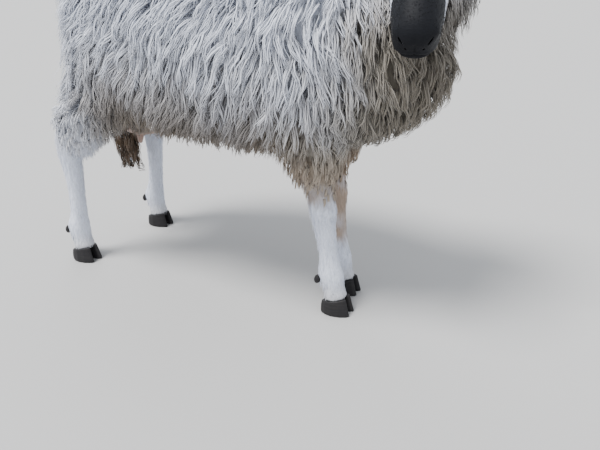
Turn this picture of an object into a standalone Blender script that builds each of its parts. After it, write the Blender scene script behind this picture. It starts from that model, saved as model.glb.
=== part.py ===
# A life-size standing ewe in long fleece, with her head turned to her right.
# Metres, +X forward, +Y to her left, +Z up, the floor at z = 0.

import bisect
import math
import random

import bpy
import bmesh
import numpy as np
from mathutils import Matrix, Vector
from mathutils.bvhtree import BVHTree

# Driving dimensions: the stance.
FORE_X = 0.172             # middle of the two fore feet
HIND_X = FORE_X - 0.555    # middle of the two hind feet
FORE_STEP = 0.037          # each fore foot from the middle plane
FORE_STAGGER = 0.0085      # the right fore foot stands this far ahead of the middle
HIND_STEP = 0.110          # each hind foot from the middle plane
HIND_STAGGER = 0.0075      # the left hind foot stands this far ahead of the middle

# Driving dimensions: the coat.
COAT_SHELL = 0.034         # from the core's surface out to the lock tips
LOCK_SPACING = 0.0530      # between neighbouring roots
LOCK_LENGTH = 0.112
LOCK_WIDTH = 0.050
LOCK_THICKNESS = 0.017
THIN_COAT = 0.35           # the share of the shell that is left where the wool ends
LOW_COAT = 0.36            # below this height the locks are smaller
LOW_LOCK_SIZE = 0.80
TAIL_LOCK_SPACING = 0.052
TAIL_LOCK_SIZE = 0.70
LOCK_SINK = 0.012          # how deep a root goes into the core
LOCK_STAND = (0.010, 0.015, 0.019, 0.024)   # how far its rings lie off the core
LOCK_NUDGE = 0.0015        # how far a lock is moved that makes a surface touch itself
MOST_NUDGES = 12
MOST_DRAWS = 6             # of one lock, until it doesn't fold into itself

# Driving dimensions: the head.
POLL = Vector((FORE_X + 0.108, 0.0095, 0.652))
NOSE = Vector((FORE_X + 0.160, -0.1605, 0.488))
EYE_RADIUS = 0.0155
EAR_LENGTH = 0.128

GAP = 0.0003               # between pieces that touch
LOCK_GAP = 0.0006          # round a lock that hangs over the next node
# Points nearer than the first value count as one, with their grid moved by the second.
TOUCH_TESTS = ((1e-7, 0.0), (1e-7, 0.33), (1e-7, 0.67), (1e-6, 0.0), (1e-6, 0.5), (6e-6, 0.0))
CLAW_TOP = 0.024           # height of the coronet at its middle
RANDOM_SEED = 49

WOOL = (0.80, 0.79, 0.76)
SHORT_HAIR = (0.83, 0.82, 0.80)
FACE_BLACK = (0.020, 0.021, 0.026)
HORN_BLACK = (0.018, 0.018, 0.022)
STAINED = (0.30, 0.20, 0.12)
BARE_SKIN = (0.62, 0.44, 0.38)
EYE_BROWN = (0.16, 0.10, 0.04)

for old in list(bpy.data.objects):
    bpy.data.objects.remove(old)

EWE = bpy.data.collections.new("dorper_ewe")
CUTTERS = bpy.data.collections.new("cutters")
bpy.context.scene.collection.children.link(EWE)
bpy.context.scene.collection.children.link(CUTTERS)


# Helpers for meshes.

def material(name, colour, roughness):
    made = bpy.data.materials.new(name)
    made.use_nodes = True
    shader = made.node_tree.nodes["Principled BSDF"]
    shader.inputs["Base Color"].default_value = (*colour, 1.0)
    shader.inputs["Roughness"].default_value = roughness
    shader.inputs["Metallic"].default_value = 0.0
    return made


def make_object(name, mesh, collection=CUTTERS):
    made = bpy.data.objects.new(name, mesh)
    collection.objects.link(made)
    if collection is CUTTERS:
        made.hide_render = True
        made.display_type = "WIRE"
    return made


def loft(name, rings, collection=CUTTERS):
    """A closed solid through rings of equally many points, each end closed by a flat face."""
    count = len(rings[0])
    points = [point for ring in rings for point in ring]
    faces = [tuple(range(count))[::-1]]
    for low in range(len(rings) - 1):
        for side in range(count):
            after = (side + 1) % count
            a = low * count + side
            b = low * count + after
            faces.append((a, b, b + count, a + count))
    faces.append(tuple(range((len(rings) - 1) * count, len(rings) * count)))
    mesh = bpy.data.meshes.new(name)
    mesh.from_pydata(points, [], faces)
    shape = bmesh.new()
    shape.from_mesh(mesh)
    bmesh.ops.recalc_face_normals(shape, faces=shape.faces)
    bmesh.ops.triangulate(shape, faces=shape.faces)
    if shape.calc_volume(signed=True) < 0:
        bmesh.ops.reverse_faces(shape, faces=shape.faces)
    shape.to_mesh(mesh)
    shape.free()
    return make_object(name, mesh, collection)


def power(value, exponent):
    return math.copysign(abs(value) ** exponent, value)


def section(centre, side, up, half_width, above, below, count=18, roundness=2.0):
    """A ring round a centre: half_width to each side, above and below it along up."""
    exponent = 2.0 / roundness
    ring = []
    for step in range(count):
        angle = math.tau * step / count
        across = half_width * power(math.cos(angle), exponent)
        rise = power(math.sin(angle), exponent)
        rise *= above if rise > 0 else below
        ring.append(centre + side * across + up * rise)
    return ring


def sphere(name, centre, radius, segments=20, rings=12, scale=(1, 1, 1), turn=None):
    mesh = bpy.data.meshes.new(name)
    shape = bmesh.new()
    bmesh.ops.create_uvsphere(shape, u_segments=segments, v_segments=rings, radius=radius)
    place = Matrix.Translation(centre)
    if turn is not None:
        place = place @ turn.to_4x4()
    place = place @ Matrix.Diagonal((*scale, 1.0))
    bmesh.ops.transform(shape, matrix=place, verts=shape.verts)
    shape.to_mesh(mesh)
    shape.free()
    return make_object(name, mesh)


def box(name, low, high):
    mesh = bpy.data.meshes.new(name)
    shape = bmesh.new()
    bmesh.ops.create_cube(shape, size=1.0)
    low = Vector(low)
    high = Vector(high)
    size = high - low
    place = Matrix.Translation((low + high) / 2) @ Matrix.Diagonal((*size, 1.0))
    bmesh.ops.transform(shape, matrix=place, verts=shape.verts)
    shape.to_mesh(mesh)
    shape.free()
    return make_object(name, mesh)


def copy_of(shape, name):
    return make_object(name, shape.data.copy())


def remove(*shapes):
    for shape in shapes:
        bpy.data.objects.remove(shape)


def apply_modifiers(shape):
    bpy.context.view_layer.update()
    graph = bpy.context.evaluated_depsgraph_get()
    mesh = bpy.data.meshes.new_from_object(shape.evaluated_get(graph))
    shape.modifiers.clear()
    shape.data = mesh


def combine(base, others, operation, solver="MANIFOLD"):
    """Joins the others to the base, or cuts it by them, and removes them."""
    gathered = bpy.data.collections.new("gathered")
    bpy.context.scene.collection.children.link(gathered)
    for other in others:
        gathered.objects.link(other)
    change = base.modifiers.new("combine", "BOOLEAN")
    change.operation = operation
    change.operand_type = "COLLECTION"
    change.collection = gathered
    change.solver = solver
    apply_modifiers(base)
    bpy.data.collections.remove(gathered)
    remove(*others)
    return base


def join(base, *others):
    return combine(base, others, "UNION")


def cut(base, *others):
    for other in others:
        combine(base, [other], "DIFFERENCE")
    return base


def cut_at_once(base, others):
    return combine(base, others, "DIFFERENCE")


def common(base, other):
    return combine(base, [other], "INTERSECT")


def grown(shape, distance, name):
    """A copy whose points are moved out along their normals."""
    made = copy_of(shape, name)
    normals = [vertex.normal.copy() for vertex in made.data.vertices]
    for vertex, normal in zip(made.data.vertices, normals):
        vertex.co += normal * distance
    return made


def keep_largest(shape):
    """Leaves only the closed surface that encloses most, found from face to face over edges."""
    whole = bmesh.new()
    whole.from_mesh(shape.data)
    waiting = set(whole.faces)
    surfaces = []
    while waiting:
        front = [waiting.pop()]
        found = set(front)
        while front:
            for edge in front.pop().edges:
                for face in edge.link_faces:
                    if face not in found:
                        found.add(face)
                        front.append(face)
        waiting -= found
        volume = 0.0
        for face in found:
            corners = [vertex.co for vertex in face.verts]
            for second, third in zip(corners[1:-1], corners[2:]):
                volume += corners[0].dot(second.cross(third)) / 6
        surfaces.append((volume, found))
    surfaces.sort(key=lambda entry: entry[0])
    for _, found in surfaces[:-1]:
        bmesh.ops.delete(whole, geom=list(found), context="FACES")
    whole.to_mesh(shape.data)
    whole.free()
    return shape


def touching_places(shape):
    """Where the surface touches itself: edges that don't have two faces once close points are one."""
    shape.data.calc_loop_triangles()
    points = np.empty(len(shape.data.vertices) * 3, np.float32)
    shape.data.vertices.foreach_get("co", points)
    points = points.reshape(-1, 3).astype(np.float64)
    faces = np.empty(len(shape.data.loop_triangles) * 3, np.int32)
    shape.data.loop_triangles.foreach_get("vertices", faces)
    places = []
    for close, offset in TOUCH_TESTS:
        _, first, index = np.unique(np.round(points / close + offset), axis=0, return_index=True,
                                    return_inverse=True)
        sewn = index.reshape(-1)[faces.reshape(-1, 3)]
        ends = np.concatenate([sewn[:, [0, 1]], sewn[:, [1, 2]], sewn[:, [2, 0]]])
        whole = (sewn[:, 0] != sewn[:, 1]) & (sewn[:, 1] != sewn[:, 2]) & (sewn[:, 2] != sewn[:, 0])
        ends = np.sort(ends[np.tile(whole, 3)], axis=1)
        edges, uses = np.unique(ends, axis=0, return_counts=True)
        for start, end in edges[uses != 2]:
            places.append(Vector((points[first[start]] + points[first[end]]) / 2))
    return places


def overlap_places(first, second):
    """The corners of what two shapes have in common."""
    both = common(copy_of(first, "both"), copy_of(second, "other"))
    places = [vertex.co.copy() for vertex in both.data.vertices]
    remove(both)
    return places


def finish(shape, name, look, sharp_angle=50.0):
    """Makes a shape one of the ewe's nodes."""
    shape.name = name
    shape.data.name = name
    for holder in list(shape.users_collection):
        holder.objects.unlink(shape)
    EWE.objects.link(shape)
    shape.hide_render = False
    shape.display_type = "TEXTURED"
    shape.data.materials.clear()
    shape.data.materials.append(look)
    shape.data.shade_smooth()
    shape.data.set_sharp_from_angle(angle=math.radians(sharp_angle))
    return shape


# The fleece body: barrel, neck, upper arms and thighs, each a loft out to the lock tips.

AXIS_X = Vector((1, 0, 0))
AXIS_Y = Vector((0, 1, 0))
AXIS_Z = Vector((0, 0, 1))

# Barrel stations: x from the fore feet, half width, top, bottom.
BARREL = (
    (-0.553, 0.036, 0.540, 0.440),
    (-0.540, 0.075, 0.580, 0.385),
    (-0.505, 0.122, 0.618, 0.335),
    (-0.445, 0.164, 0.648, 0.304),
    (-0.360, 0.190, 0.660, 0.290),
    (-0.260, 0.202, 0.658, 0.283),
    (-0.150, 0.202, 0.656, 0.279),
    (-0.060, 0.188, 0.654, 0.278),
    (0.015, 0.168, 0.632, 0.282),
    (0.080, 0.144, 0.580, 0.305),
    (0.128, 0.114, 0.530, 0.342),
    (0.160, 0.062, 0.485, 0.398),
)

# Neck stations along its middle line: x from the fore feet, y, z, half width, half depth.
NECK = (
    (-0.100, 0.000, 0.470, 0.130, 0.160),
    (-0.015, 0.010, 0.503, 0.130, 0.156),
    (0.054, 0.034, 0.550, 0.112, 0.138),
    (0.094, 0.056, 0.600, 0.098, 0.118),
    (0.112, 0.058, 0.640, 0.092, 0.100),
    (0.112, 0.036, 0.676, 0.078, 0.078),
    (0.106, 0.018, 0.702, 0.048, 0.042),
)

# Upper arm and thigh stations: x from the feet, y out from the middle, z, half width, half depth.
UPPER_ARM = (
    (-0.060, 0.095, 0.500, 0.075, 0.110),
    (-0.050, 0.085, 0.400, 0.072, 0.098),
    (-0.038, 0.066, 0.330, 0.060, 0.072),
    (-0.032, 0.054, 0.285, 0.048, 0.054),
    (-0.030, 0.049, 0.260, 0.038, 0.042),
)
THIGH = (
    (0.165, 0.095, 0.520, 0.085, 0.100),
    (0.150, 0.103, 0.440, 0.084, 0.100),
    (0.125, 0.106, 0.370, 0.074, 0.088),
    (0.084, 0.108, 0.320, 0.060, 0.068),
    (0.050, 0.109, 0.288, 0.047, 0.052),
    (0.032, 0.110, 0.266, 0.039, 0.044),
)


def barrel(inset):
    rings = []
    for x, half_width, top, bottom in BARREL:
        middle = (top * 0.52 + bottom * 0.48)
        end = 0.4 if half_width < 0.06 else 1.0
        taken = inset * end
        centre = Vector((FORE_X + x, 0, middle))
        ring = section(centre, AXIS_Y, AXIS_Z, half_width - taken, top - middle - taken,
                       middle - bottom - taken, 18, 2.25)
        rings.append(ring)
    shift = Vector((inset, 0, 0))
    rings[0] = [point + shift for point in rings[0]]
    rings[1] = [point + shift * 0.9 for point in rings[1]]
    rings[2] = [point + shift * 0.5 for point in rings[2]]
    rings[-1] = [point - shift for point in rings[-1]]
    rings[-2] = [point - shift * 0.8 for point in rings[-2]]
    rings[-3] = [point - shift * 0.4 for point in rings[-3]]
    return loft("barrel", rings)


def tube_rings(stations, inset, side, count=16):
    """Rings square to a middle line, for stations of point, half width and half depth."""
    rings = []
    for index, (point, half_width, half_depth) in enumerate(stations):
        before = stations[max(index - 1, 0)][0]
        after = stations[min(index + 1, len(stations) - 1)][0]
        along = (after - before).normalized()
        across = (side - along * side.dot(along)).normalized()
        up = along.cross(across)
        rings.append(section(point, across, up, half_width - inset, half_depth - inset,
                             half_depth - inset, count))
    return rings


def neck_core(inset):
    stations = [(Vector((FORE_X + x, y, z)), half_width, half_depth)
                for x, y, z, half_width, half_depth in NECK]
    return loft("neck_core", tube_rings(stations, inset, AXIS_Y, 20))


def limb_core(name, stations, foot_x, side, inset):
    """An upper arm or a thigh, where the coat thins out towards the bare leg."""
    placed = []
    for x, y, z, half_width, half_depth in stations:
        taken = inset * min(1.0, max(THIN_COAT, (z - 0.25) / 0.12))
        placed.append((Vector((foot_x + x, side * y, z)), half_width - taken, half_depth - taken))
    return loft(name, tube_rings(placed, 0.0, AXIS_Y))


def hind_foot_x(side):
    return HIND_X + side * HIND_STAGGER


def fore_foot_x(side):
    return FORE_X - side * FORE_STAGGER


def fleece_core(inset):
    whole = barrel(inset)
    others = [neck_core(inset)]
    for side in (1, -1):
        others.append(limb_core("upper_arm", UPPER_ARM, fore_foot_x(side), side, inset))
        others.append(limb_core("thigh", THIGH, hind_foot_x(side), side, inset))
    return join(whole, *others)


# Legs, hooves and dewclaws.

# Stations of a leg from its top down: x from the foot, extra y outward, z, half width,
# half depth ahead, half depth behind.
FORELEG = (
    (-0.040, 0.010, 0.296, 0.029, 0.033, 0.036),
    (-0.034, 0.008, 0.262, 0.027, 0.029, 0.031),
    (-0.028, 0.006, 0.228, 0.0220, 0.024, 0.025),
    (-0.024, 0.005, 0.200, 0.0240, 0.026, 0.024),
    (-0.021, 0.004, 0.176, 0.0205, 0.021, 0.021),
    (-0.014, 0.002, 0.130, 0.0175, 0.0180, 0.0180),
    (-0.009, 0.001, 0.098, 0.0180, 0.0185, 0.0210),
    (-0.005, 0.000, 0.074, 0.0215, 0.0220, 0.0270),
    (0.000, 0.000, 0.050, 0.0195, 0.0200, 0.0225),
    (0.003, 0.000, 0.034, 0.0210, 0.0225, 0.0225),
)
HINDLEG = (
    (0.062, 0.002, 0.322, 0.031, 0.040, 0.038),
    (0.038, 0.002, 0.296, 0.0275, 0.037, 0.039),
    (0.021, 0.002, 0.274, 0.0240, 0.029, 0.036),
    (0.015, 0.002, 0.252, 0.0228, 0.026, 0.033),
    (0.013, 0.002, 0.220, 0.0188, 0.0215, 0.0235),
    (0.010, 0.001, 0.160, 0.0166, 0.0175, 0.0178),
    (0.004, 0.000, 0.108, 0.0172, 0.0182, 0.0195),
    (-0.002, 0.000, 0.078, 0.0215, 0.0225, 0.0275),
    (0.001, 0.000, 0.052, 0.0195, 0.0205, 0.0230),
    (0.004, 0.000, 0.034, 0.0210, 0.0225, 0.0225),
)
LEG_SIDES = 12
FETLOCK = 7                # which station is the fetlock


def leg_rings(stations, foot, side, extra):
    rings = []
    for x, outward, z, half_width, ahead, behind in stations:
        centre = Vector((foot.x + x, foot.y + side * outward, z))
        rings.append(section(centre, AXIS_Y, AXIS_X, half_width + extra, ahead + extra,
                             behind + extra, LEG_SIDES))
    return rings


def leg(name, stations, foot, side, extra=0.0):
    rings = leg_rings(stations, foot, side, extra)
    # The lowest ring follows the slope of the coronet, higher in front than behind.
    rings[-1] = [Vector((point.x, point.y, coronet(point.x - foot.x) + GAP - extra))
                 for point in rings[-1]]
    return loft(name, rings)


def coronet(ahead):
    return CLAW_TOP + 0.004 + ahead * 0.22


CLAW_WIDTH = 0.0225
CLAW_FRONT = 0.0320
CLAW_BACK = 0.0245
CLAW_AHEAD = 0.002         # the middle of the claws lies this far ahead of the foot
CLAW_SIDES = 12
CLAW_SPLIT = 0.0016        # half of the cleft between the two claws


def claw(name, foot, hand):
    """One half of a cloven hoof, on the outer (1) or inner (-1) hand of the foot's middle."""
    rings = []
    levels = ((0.0, 0.94, 0.97), (0.003, 1.0, 1.0), (0.016, 0.95, 0.93), (1.0, 0.86, 0.82))
    for level, wide, long in levels:
        ring = []
        for step in range(CLAW_SIDES):
            angle = math.tau * step / CLAW_SIDES
            ahead = math.cos(angle)
            reach = CLAW_FRONT if ahead > 0 else CLAW_BACK
            pointed = 1.0 - 0.30 * max(ahead, 0.0) ** 3
            x = ahead * reach * long
            across = 0.5 + 0.5 * math.sin(angle) * pointed
            y = CLAW_SPLIT + across * CLAW_WIDTH * wide
            y += 0.004 * max(ahead, 0.0) * (-1.0) + 0.002
            y = max(y, CLAW_SPLIT)
            if level == 1.0:
                z = coronet(x + CLAW_AHEAD)
            else:
                z = level
            lean = 0.0 if level == 1.0 else (coronet(0) - z) * 0.12
            ring.append(Vector((foot.x + CLAW_AHEAD + x + lean, foot.y + hand * y, z)))
        rings.append(ring)
    return loft(name, rings)


def dewclaw(name, foot, hand, fetlock, leg_cutter):
    x, _, z, half_width, _, behind = fetlock
    centre = Vector((foot.x + x - behind * 0.86, foot.y + hand * half_width * 0.52, z - 0.010))
    tilt = Matrix.Rotation(math.radians(24), 3, "Y")
    made = sphere(name, centre, 0.0085, 8, 5, (0.85, 0.75, 1.25), tilt)
    return cut(made, leg_cutter)


# Tail and udder.

TAIL = (
    (0.078, 0.000, 0.552, 0.036, 0.030),
    (0.030, 0.000, 0.566, 0.040, 0.032),
    (-0.002, 0.003, 0.548, 0.043, 0.034),
    (-0.014, 0.010, 0.500, 0.045, 0.035),
    (-0.016, 0.020, 0.430, 0.045, 0.034),
    (-0.010, 0.031, 0.350, 0.044, 0.033),
    (0.000, 0.040, 0.270, 0.040, 0.031),
    (0.008, 0.045, 0.205, 0.031, 0.026),
    (0.012, 0.047, 0.172, 0.022, 0.020),
)
TAIL_SHELL = 0.013         # from the tail's core out to its lock tips


def tail_core(inset=0.0):
    stations = [(Vector((HIND_X + x, y, z)), half_width - inset, half_depth - inset)
                for x, y, z, half_width, half_depth in TAIL]
    return loft("tail_core", tube_rings(stations, 0.0, AXIS_Y, 12))


def udder(extra=0.0):
    x = HIND_X + 0.115
    rings = []
    stations = ((0.352, 0.060, 0.062), (0.325, 0.064, 0.064), (0.300, 0.060, 0.058),
                (0.282, 0.046, 0.044), (0.274, 0.024, 0.024))
    for z, half_width, half_depth in stations:
        centre = Vector((x, 0.0, z))
        rings.append(section(centre, AXIS_Y, AXIS_X, half_width + extra, half_depth + extra,
                             half_depth + extra, 12, 2.2))
    made = loft("udder", rings)
    teats = []
    for side in (1, -1):
        top = Vector((x + 0.012, side * 0.034, 0.292))
        tip = top + Vector((0.006, side * 0.010, -0.030))
        teats.append(loft("teat", tube_rings([(top, 0.0085 + extra, 0.0085 + extra),
                                              (top.lerp(tip, 0.6), 0.007 + extra, 0.007 + extra),
                                              (tip, 0.004 + extra, 0.004 + extra)],
                                             0.0, AXIS_Y, 6)))
    return join(made, *teats)


# Head, in its own frame: x from the poll to the nose, y to her left, z out of the forehead.

HEAD_AXIS = (NOSE - POLL).normalized()
HEAD_UP = (AXIS_Z - HEAD_AXIS * AXIS_Z.dot(HEAD_AXIS)).normalized()
HEAD_SIDE = HEAD_UP.cross(HEAD_AXIS)
HEAD_TURN = Matrix((HEAD_AXIS, HEAD_SIDE, HEAD_UP)).transposed()

# Stations: x, half width, above, below.
HEAD = (
    (-0.050, 0.020, 0.012, 0.030),
    (-0.042, 0.034, 0.024, 0.046),
    (-0.020, 0.048, 0.039, 0.064),
    (0.012, 0.0565, 0.050, 0.075),
    (0.045, 0.0600, 0.056, 0.079),
    (0.075, 0.0575, 0.054, 0.075),
    (0.105, 0.0500, 0.0485, 0.065),
    (0.138, 0.0420, 0.0440, 0.054),
    (0.170, 0.0355, 0.0385, 0.045),
    (0.200, 0.0330, 0.0335, 0.042),
    (0.222, 0.0285, 0.0270, 0.037),
    (0.236, 0.0205, 0.0170, 0.028),
    (0.242, 0.0100, 0.0060, 0.013),
)
EYE_PLACE = Vector((0.078, 0.0410, 0.021))
EAR_ROOT = Vector((-0.004, 0.048, 0.030))


def from_head(point):
    return POLL + HEAD_TURN @ Vector(point)


def head_solid(extra=0.0):
    side = HEAD_SIDE
    rings = []
    for x, half_width, above, below in HEAD:
        centre = from_head((x, 0, 0))
        rings.append(section(centre, side, HEAD_UP, half_width + extra, above + extra,
                             below + extra, 20, 2.15))
    return loft("head", rings)


def mouth_groove():
    """A thin strip round the muzzle that leaves the line of the mouth as a groove."""
    deep = 0.0040
    proud = 0.0060
    half = 0.0008
    line = []
    for step in range(15):
        angle = math.radians(-100 + 200 * step / 14)
        x = 0.196 + 0.0400 * math.cos(angle)
        y = 0.0305 * math.sin(angle)
        z = -0.018 - 0.006 * (1 - math.cos(angle)) + 0.003 * math.cos(3 * angle)
        line.append((Vector((x, y, z)), Vector((math.cos(angle), math.sin(angle), 0))))
    rings = []
    for point, outward in line:
        ring = []
        for reach, rise in ((-deep, half), (proud, half), (proud, -half), (-deep, -half)):
            ring.append(from_head(point + outward * reach + Vector((0, 0, rise))))
        rings.append(ring)
    return loft("mouth_groove", rings)


def nostril(side):
    centre = from_head((0.2330, side * 0.0140, 0.0020))
    turn = HEAD_TURN @ Matrix.Rotation(math.radians(side * 38), 3, "X")
    return sphere("nostril", centre, 0.0052, 10, 6, (1.5, 1.05, 1.9), turn)


def eye_frame(side):
    """The eye's middle, the way it looks and the turn of its lids, in the head's frame."""
    place = Vector((EYE_PLACE.x, side * EYE_PLACE.y, EYE_PLACE.z))
    outward = Vector((0.30, side * 0.90, 0.32)).normalized()
    along = Vector((0.92, 0, -0.12))
    along = (along - outward * along.dot(outward)).normalized()
    turn = HEAD_TURN @ Matrix((along, outward.cross(along), outward)).transposed()
    return place, outward, turn


def lid_mound(side, extra=0.0):
    place, _, turn = eye_frame(side)
    return sphere("lid_mound", from_head(place), EYE_RADIUS + 0.0028 + extra, 16, 10,
                  (1.32, 1.08, 0.98), turn)


def add_lids(head, side):
    """A low mound over the eye, with the socket and the opening between the lids cut into it."""
    place, outward, turn = eye_frame(side)
    join(head, lid_mound(side))
    opening = sphere("lid_opening", from_head(place + outward * (EYE_RADIUS + 0.001)), 0.0100,
                     14, 8, (1.22, 0.66, 0.85), turn)
    socket = sphere("eye_socket", from_head(place), EYE_RADIUS + GAP, 16, 10)
    cut(head, opening, socket)


def eye(side):
    place = Vector((EYE_PLACE.x, side * EYE_PLACE.y, EYE_PLACE.z))
    return sphere("eye", from_head(place), EYE_RADIUS, 16, 10)


def ear_solid(side):
    """A cupped leaf: each ring is a crescent, open to the front."""
    root = Vector((EAR_ROOT.x, side * EAR_ROOT.y, EAR_ROOT.z))
    out = Vector((-0.22, side * 0.94, 0.02)).normalized()
    droop = Vector((0.10, 0, -0.30))
    face = Vector((0.80, side * 0.25, -0.45))
    stations = ((-0.10, 0.34, 0.9), (0.04, 0.46, 1.0), (0.16, 0.72, 1.0), (0.32, 0.95, 0.9),
                (0.50, 1.0, 0.75), (0.68, 0.88, 0.6), (0.84, 0.60, 0.45), (0.95, 0.30, 0.3),
                (1.0, 0.10, 0.2))
    half_width = 0.0275
    rings = []
    for along, wide, cupped in stations:
        axis = (out + droop * along).normalized()
        centre = root + out * (EAR_LENGTH * along) + droop * (EAR_LENGTH * along * along * 0.5)
        front = (face - axis * face.dot(axis)).normalized()
        across = axis.cross(front)
        width = half_width * wide
        depth = width * 0.75 * cupped
        thick = 0.0022 + 0.0016 * (1 - along)
        ring = []
        spread = [-1.0, -0.55, 0.0, 0.55, 1.0]
        for place in spread:
            bend = depth * (place * place - 0.5)
            ring.append(centre + across * (width * place) + front * (bend - thick))
        for place in spread[::-1]:
            bend = depth * (place * place - 0.5)
            ring.append(centre + across * (width * place * 0.94) + front * (bend + thick))
        rings.append([from_head(point) for point in ring])
    return loft("ear", rings)


# Locks: flat tapered wisps that grow from the core and lie down along the coat.

LOCK_STEPS = 4
LOCK_WIDTHS = (0.72, 1.0, 0.92, 0.58)        # along a lock, as shares of its width
LOCK_HEIGHTS = (0.9, 1.0, 0.85, 0.6)         # along a lock, as shares of its thickness
LOCK_TURNS = (0.45, 1.1, 1.6, 1.6)           # how strongly each step turns to the lie
LOCK_LIFT = 0.85                             # how much of a lock's way into the body is taken off
LOCK_STIFFNESS = 0.8                         # how much each ring keeps of the last one's way
PARTING = 0.07                               # half the strip that runs back along the spine


def body_lie(place, normal):
    """The way the coat runs: back along the spine, then down the sides, forward on the chest."""
    ahead = place.x - FORE_X
    back = -0.42
    if ahead > -0.06:
        back = min(-0.42 + 3.2 * (ahead + 0.06), 0.30)
    if ahead < -0.45:
        back = -0.05
    side = max(-1.0, min(1.0, place.y / PARTING))
    aside = side * (max(normal.z, 0.0) * 0.9 + max(-normal.z, 0.0) * 0.10)
    top = max(normal.z - 0.6, 0.0) * (1.0 - abs(side) * 0.6)
    return Vector((back - top * 5.0, aside, -1.0)).normalized()


def tail_lie(place, normal):
    return Vector((0.02, 0.08, -1.0)).normalized()


class Lock:
    """One lock: its middle line, with the way across and the way out at each ring."""

    def __init__(self, root, normal, surface, lie_at, shell, draw, size):
        self.root = root
        self.width = LOCK_WIDTH * size * draw.uniform(0.85, 1.15)
        self.thick = LOCK_THICKNESS * min(size * 1.1, 1.0) * draw.uniform(0.85, 1.15)
        length = LOCK_LENGTH * size * draw.uniform(0.85, 1.15)
        lie = lie_at(root, normal)
        lie = (lie + normal.cross(lie) * draw.uniform(-0.22, 0.22)).normalized()
        wave = draw.uniform(0.0, math.tau)
        place = root - normal * LOCK_SINK
        heading = (normal * 0.9 + lie * 0.6).normalized()
        places = [place]
        for step in range(LOCK_STEPS):
            _, outward, _, _ = surface.find_nearest(place)
            across = heading.cross(outward).normalized()
            down = Vector((0, 0, -1)) * 0.35 * step
            heading = (heading + lie * LOCK_TURNS[step] + down).normalized()
            sinking = min(heading.dot(outward), 0.0)
            heading = (heading - outward * sinking * LOCK_LIFT).normalized()
            reach = length / LOCK_STEPS
            if step == 0:
                reach += LOCK_SINK
            place = place + heading * reach + across * math.sin(wave + step * 2.1) * 0.004
            nearest, outward, _, _ = surface.find_nearest(place)
            stand = LOCK_STAND[step] * shell / COAT_SHELL
            if (place - nearest).dot(outward) < stand:
                place = nearest + outward * stand
            elif (place - nearest).length > stand * 1.5 and outward.z > -0.3:
                place = nearest + outward * stand * 1.5
            places.append(place)
        self.tip = place
        self.tip_way = (places[-1] - places[-2]).normalized()
        self.line = []
        for before, place, after in zip([places[0]] + places, places[:-1], places[1:]):
            way = (after - before).normalized()
            _, outward, _, _ = surface.find_nearest(place)
            across = way.cross(outward if self.line else normal).normalized()
            if self.line:
                last = self.line[-1][1]
                if across.dot(last) < 0:
                    across.negate()
                across = across + last * LOCK_STIFFNESS
                across = (across - way * across.dot(way)).normalized()
            self.line.append((place, across, across.cross(way).normalized()))

    def distance(self, point):
        """How far a point is from the lock's middle line."""
        places = [place for place, _, _ in self.line] + [self.tip]
        nearest = []
        for start, end in zip(places[:-1], places[1:]):
            along = (point - start).dot(end - start) / (end - start).length_squared
            nearest.append((start.lerp(end, max(0.0, min(1.0, along))) - point).length)
        return min(nearest)

    def is_sound(self):
        """Whether the lock lies inside its own larger form, which it doesn't where it folds."""
        left = cut(self.solid(), self.solid(LOCK_GAP))
        sound = not left.data.polygons
        remove(left)
        return sound

    def nudge(self, draw):
        moved = Vector([draw.uniform(-LOCK_NUDGE, LOCK_NUDGE) for _ in range(3)])
        self.line = [(place + moved, across, up) for place, across, up in self.line]
        self.tip = self.tip + moved

    def solid(self, extra=0.0):
        """Rings of two edges and a ridge, ending in a fine tip; extra makes it larger all round."""
        points = []
        for (place, across, up), wide, high in zip(self.line, LOCK_WIDTHS, LOCK_HEIGHTS):
            half = self.width * wide / 2 + extra * 2
            base = place - up * extra
            points.append(base - across * half)
            points.append(base + across * half)
            points.append(place + up * (self.thick * high + extra * 2))
        if extra:
            way = (self.line[1][0] - self.line[0][0]).normalized() * extra
            points[:3] = [point - way for point in points[:3]]
        points.append(self.tip + self.tip_way * extra * 2)
        faces = [(0, 1, 2)]
        for low in range(0, 3 * (LOCK_STEPS - 1), 3):
            for side in range(3):
                a = low + side
                b = low + (side + 1) % 3
                faces.append((a, b, b + 3))
                faces.append((a, b + 3, a + 3))
        last = 3 * (LOCK_STEPS - 1)
        for side in range(3):
            faces.append((last + side, last + (side + 1) % 3, last + 3))
        mesh = bpy.data.meshes.new("lock")
        mesh.from_pydata(points, [], faces)
        shape = bmesh.new()
        shape.from_mesh(mesh)
        bmesh.ops.recalc_face_normals(shape, faces=shape.faces)
        if shape.calc_volume(signed=True) < 0:
            bmesh.ops.reverse_faces(shape, faces=shape.faces)
        shape.to_mesh(mesh)
        shape.free()
        return make_object("lock", mesh)


def spread_roots(core, spacing, draw, allowed):
    """Points on the core's surface at least a spacing apart, with their normals."""
    core.data.calc_loop_triangles()
    triangles = []
    total = 0.0
    for triangle in core.data.loop_triangles:
        corners = [core.data.vertices[index].co.copy() for index in triangle.vertices]
        total += triangle.area
        triangles.append((total, corners, triangle.normal.copy()))
    areas = [entry[0] for entry in triangles]
    taken = []
    for _ in range(int(total / spacing ** 2 * 30)):
        _, corners, normal = triangles[bisect.bisect_left(areas, draw.random() * total)]
        first = draw.random()
        second = draw.random()
        if first + second > 1:
            first = 1 - first
            second = 1 - second
        point = corners[0] + (corners[1] - corners[0]) * first + (corners[2] - corners[0]) * second
        if allowed(point, normal) and all((point - other).length > spacing
                                          for other, _ in taken):
            taken.append((point, normal))
    return taken


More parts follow.
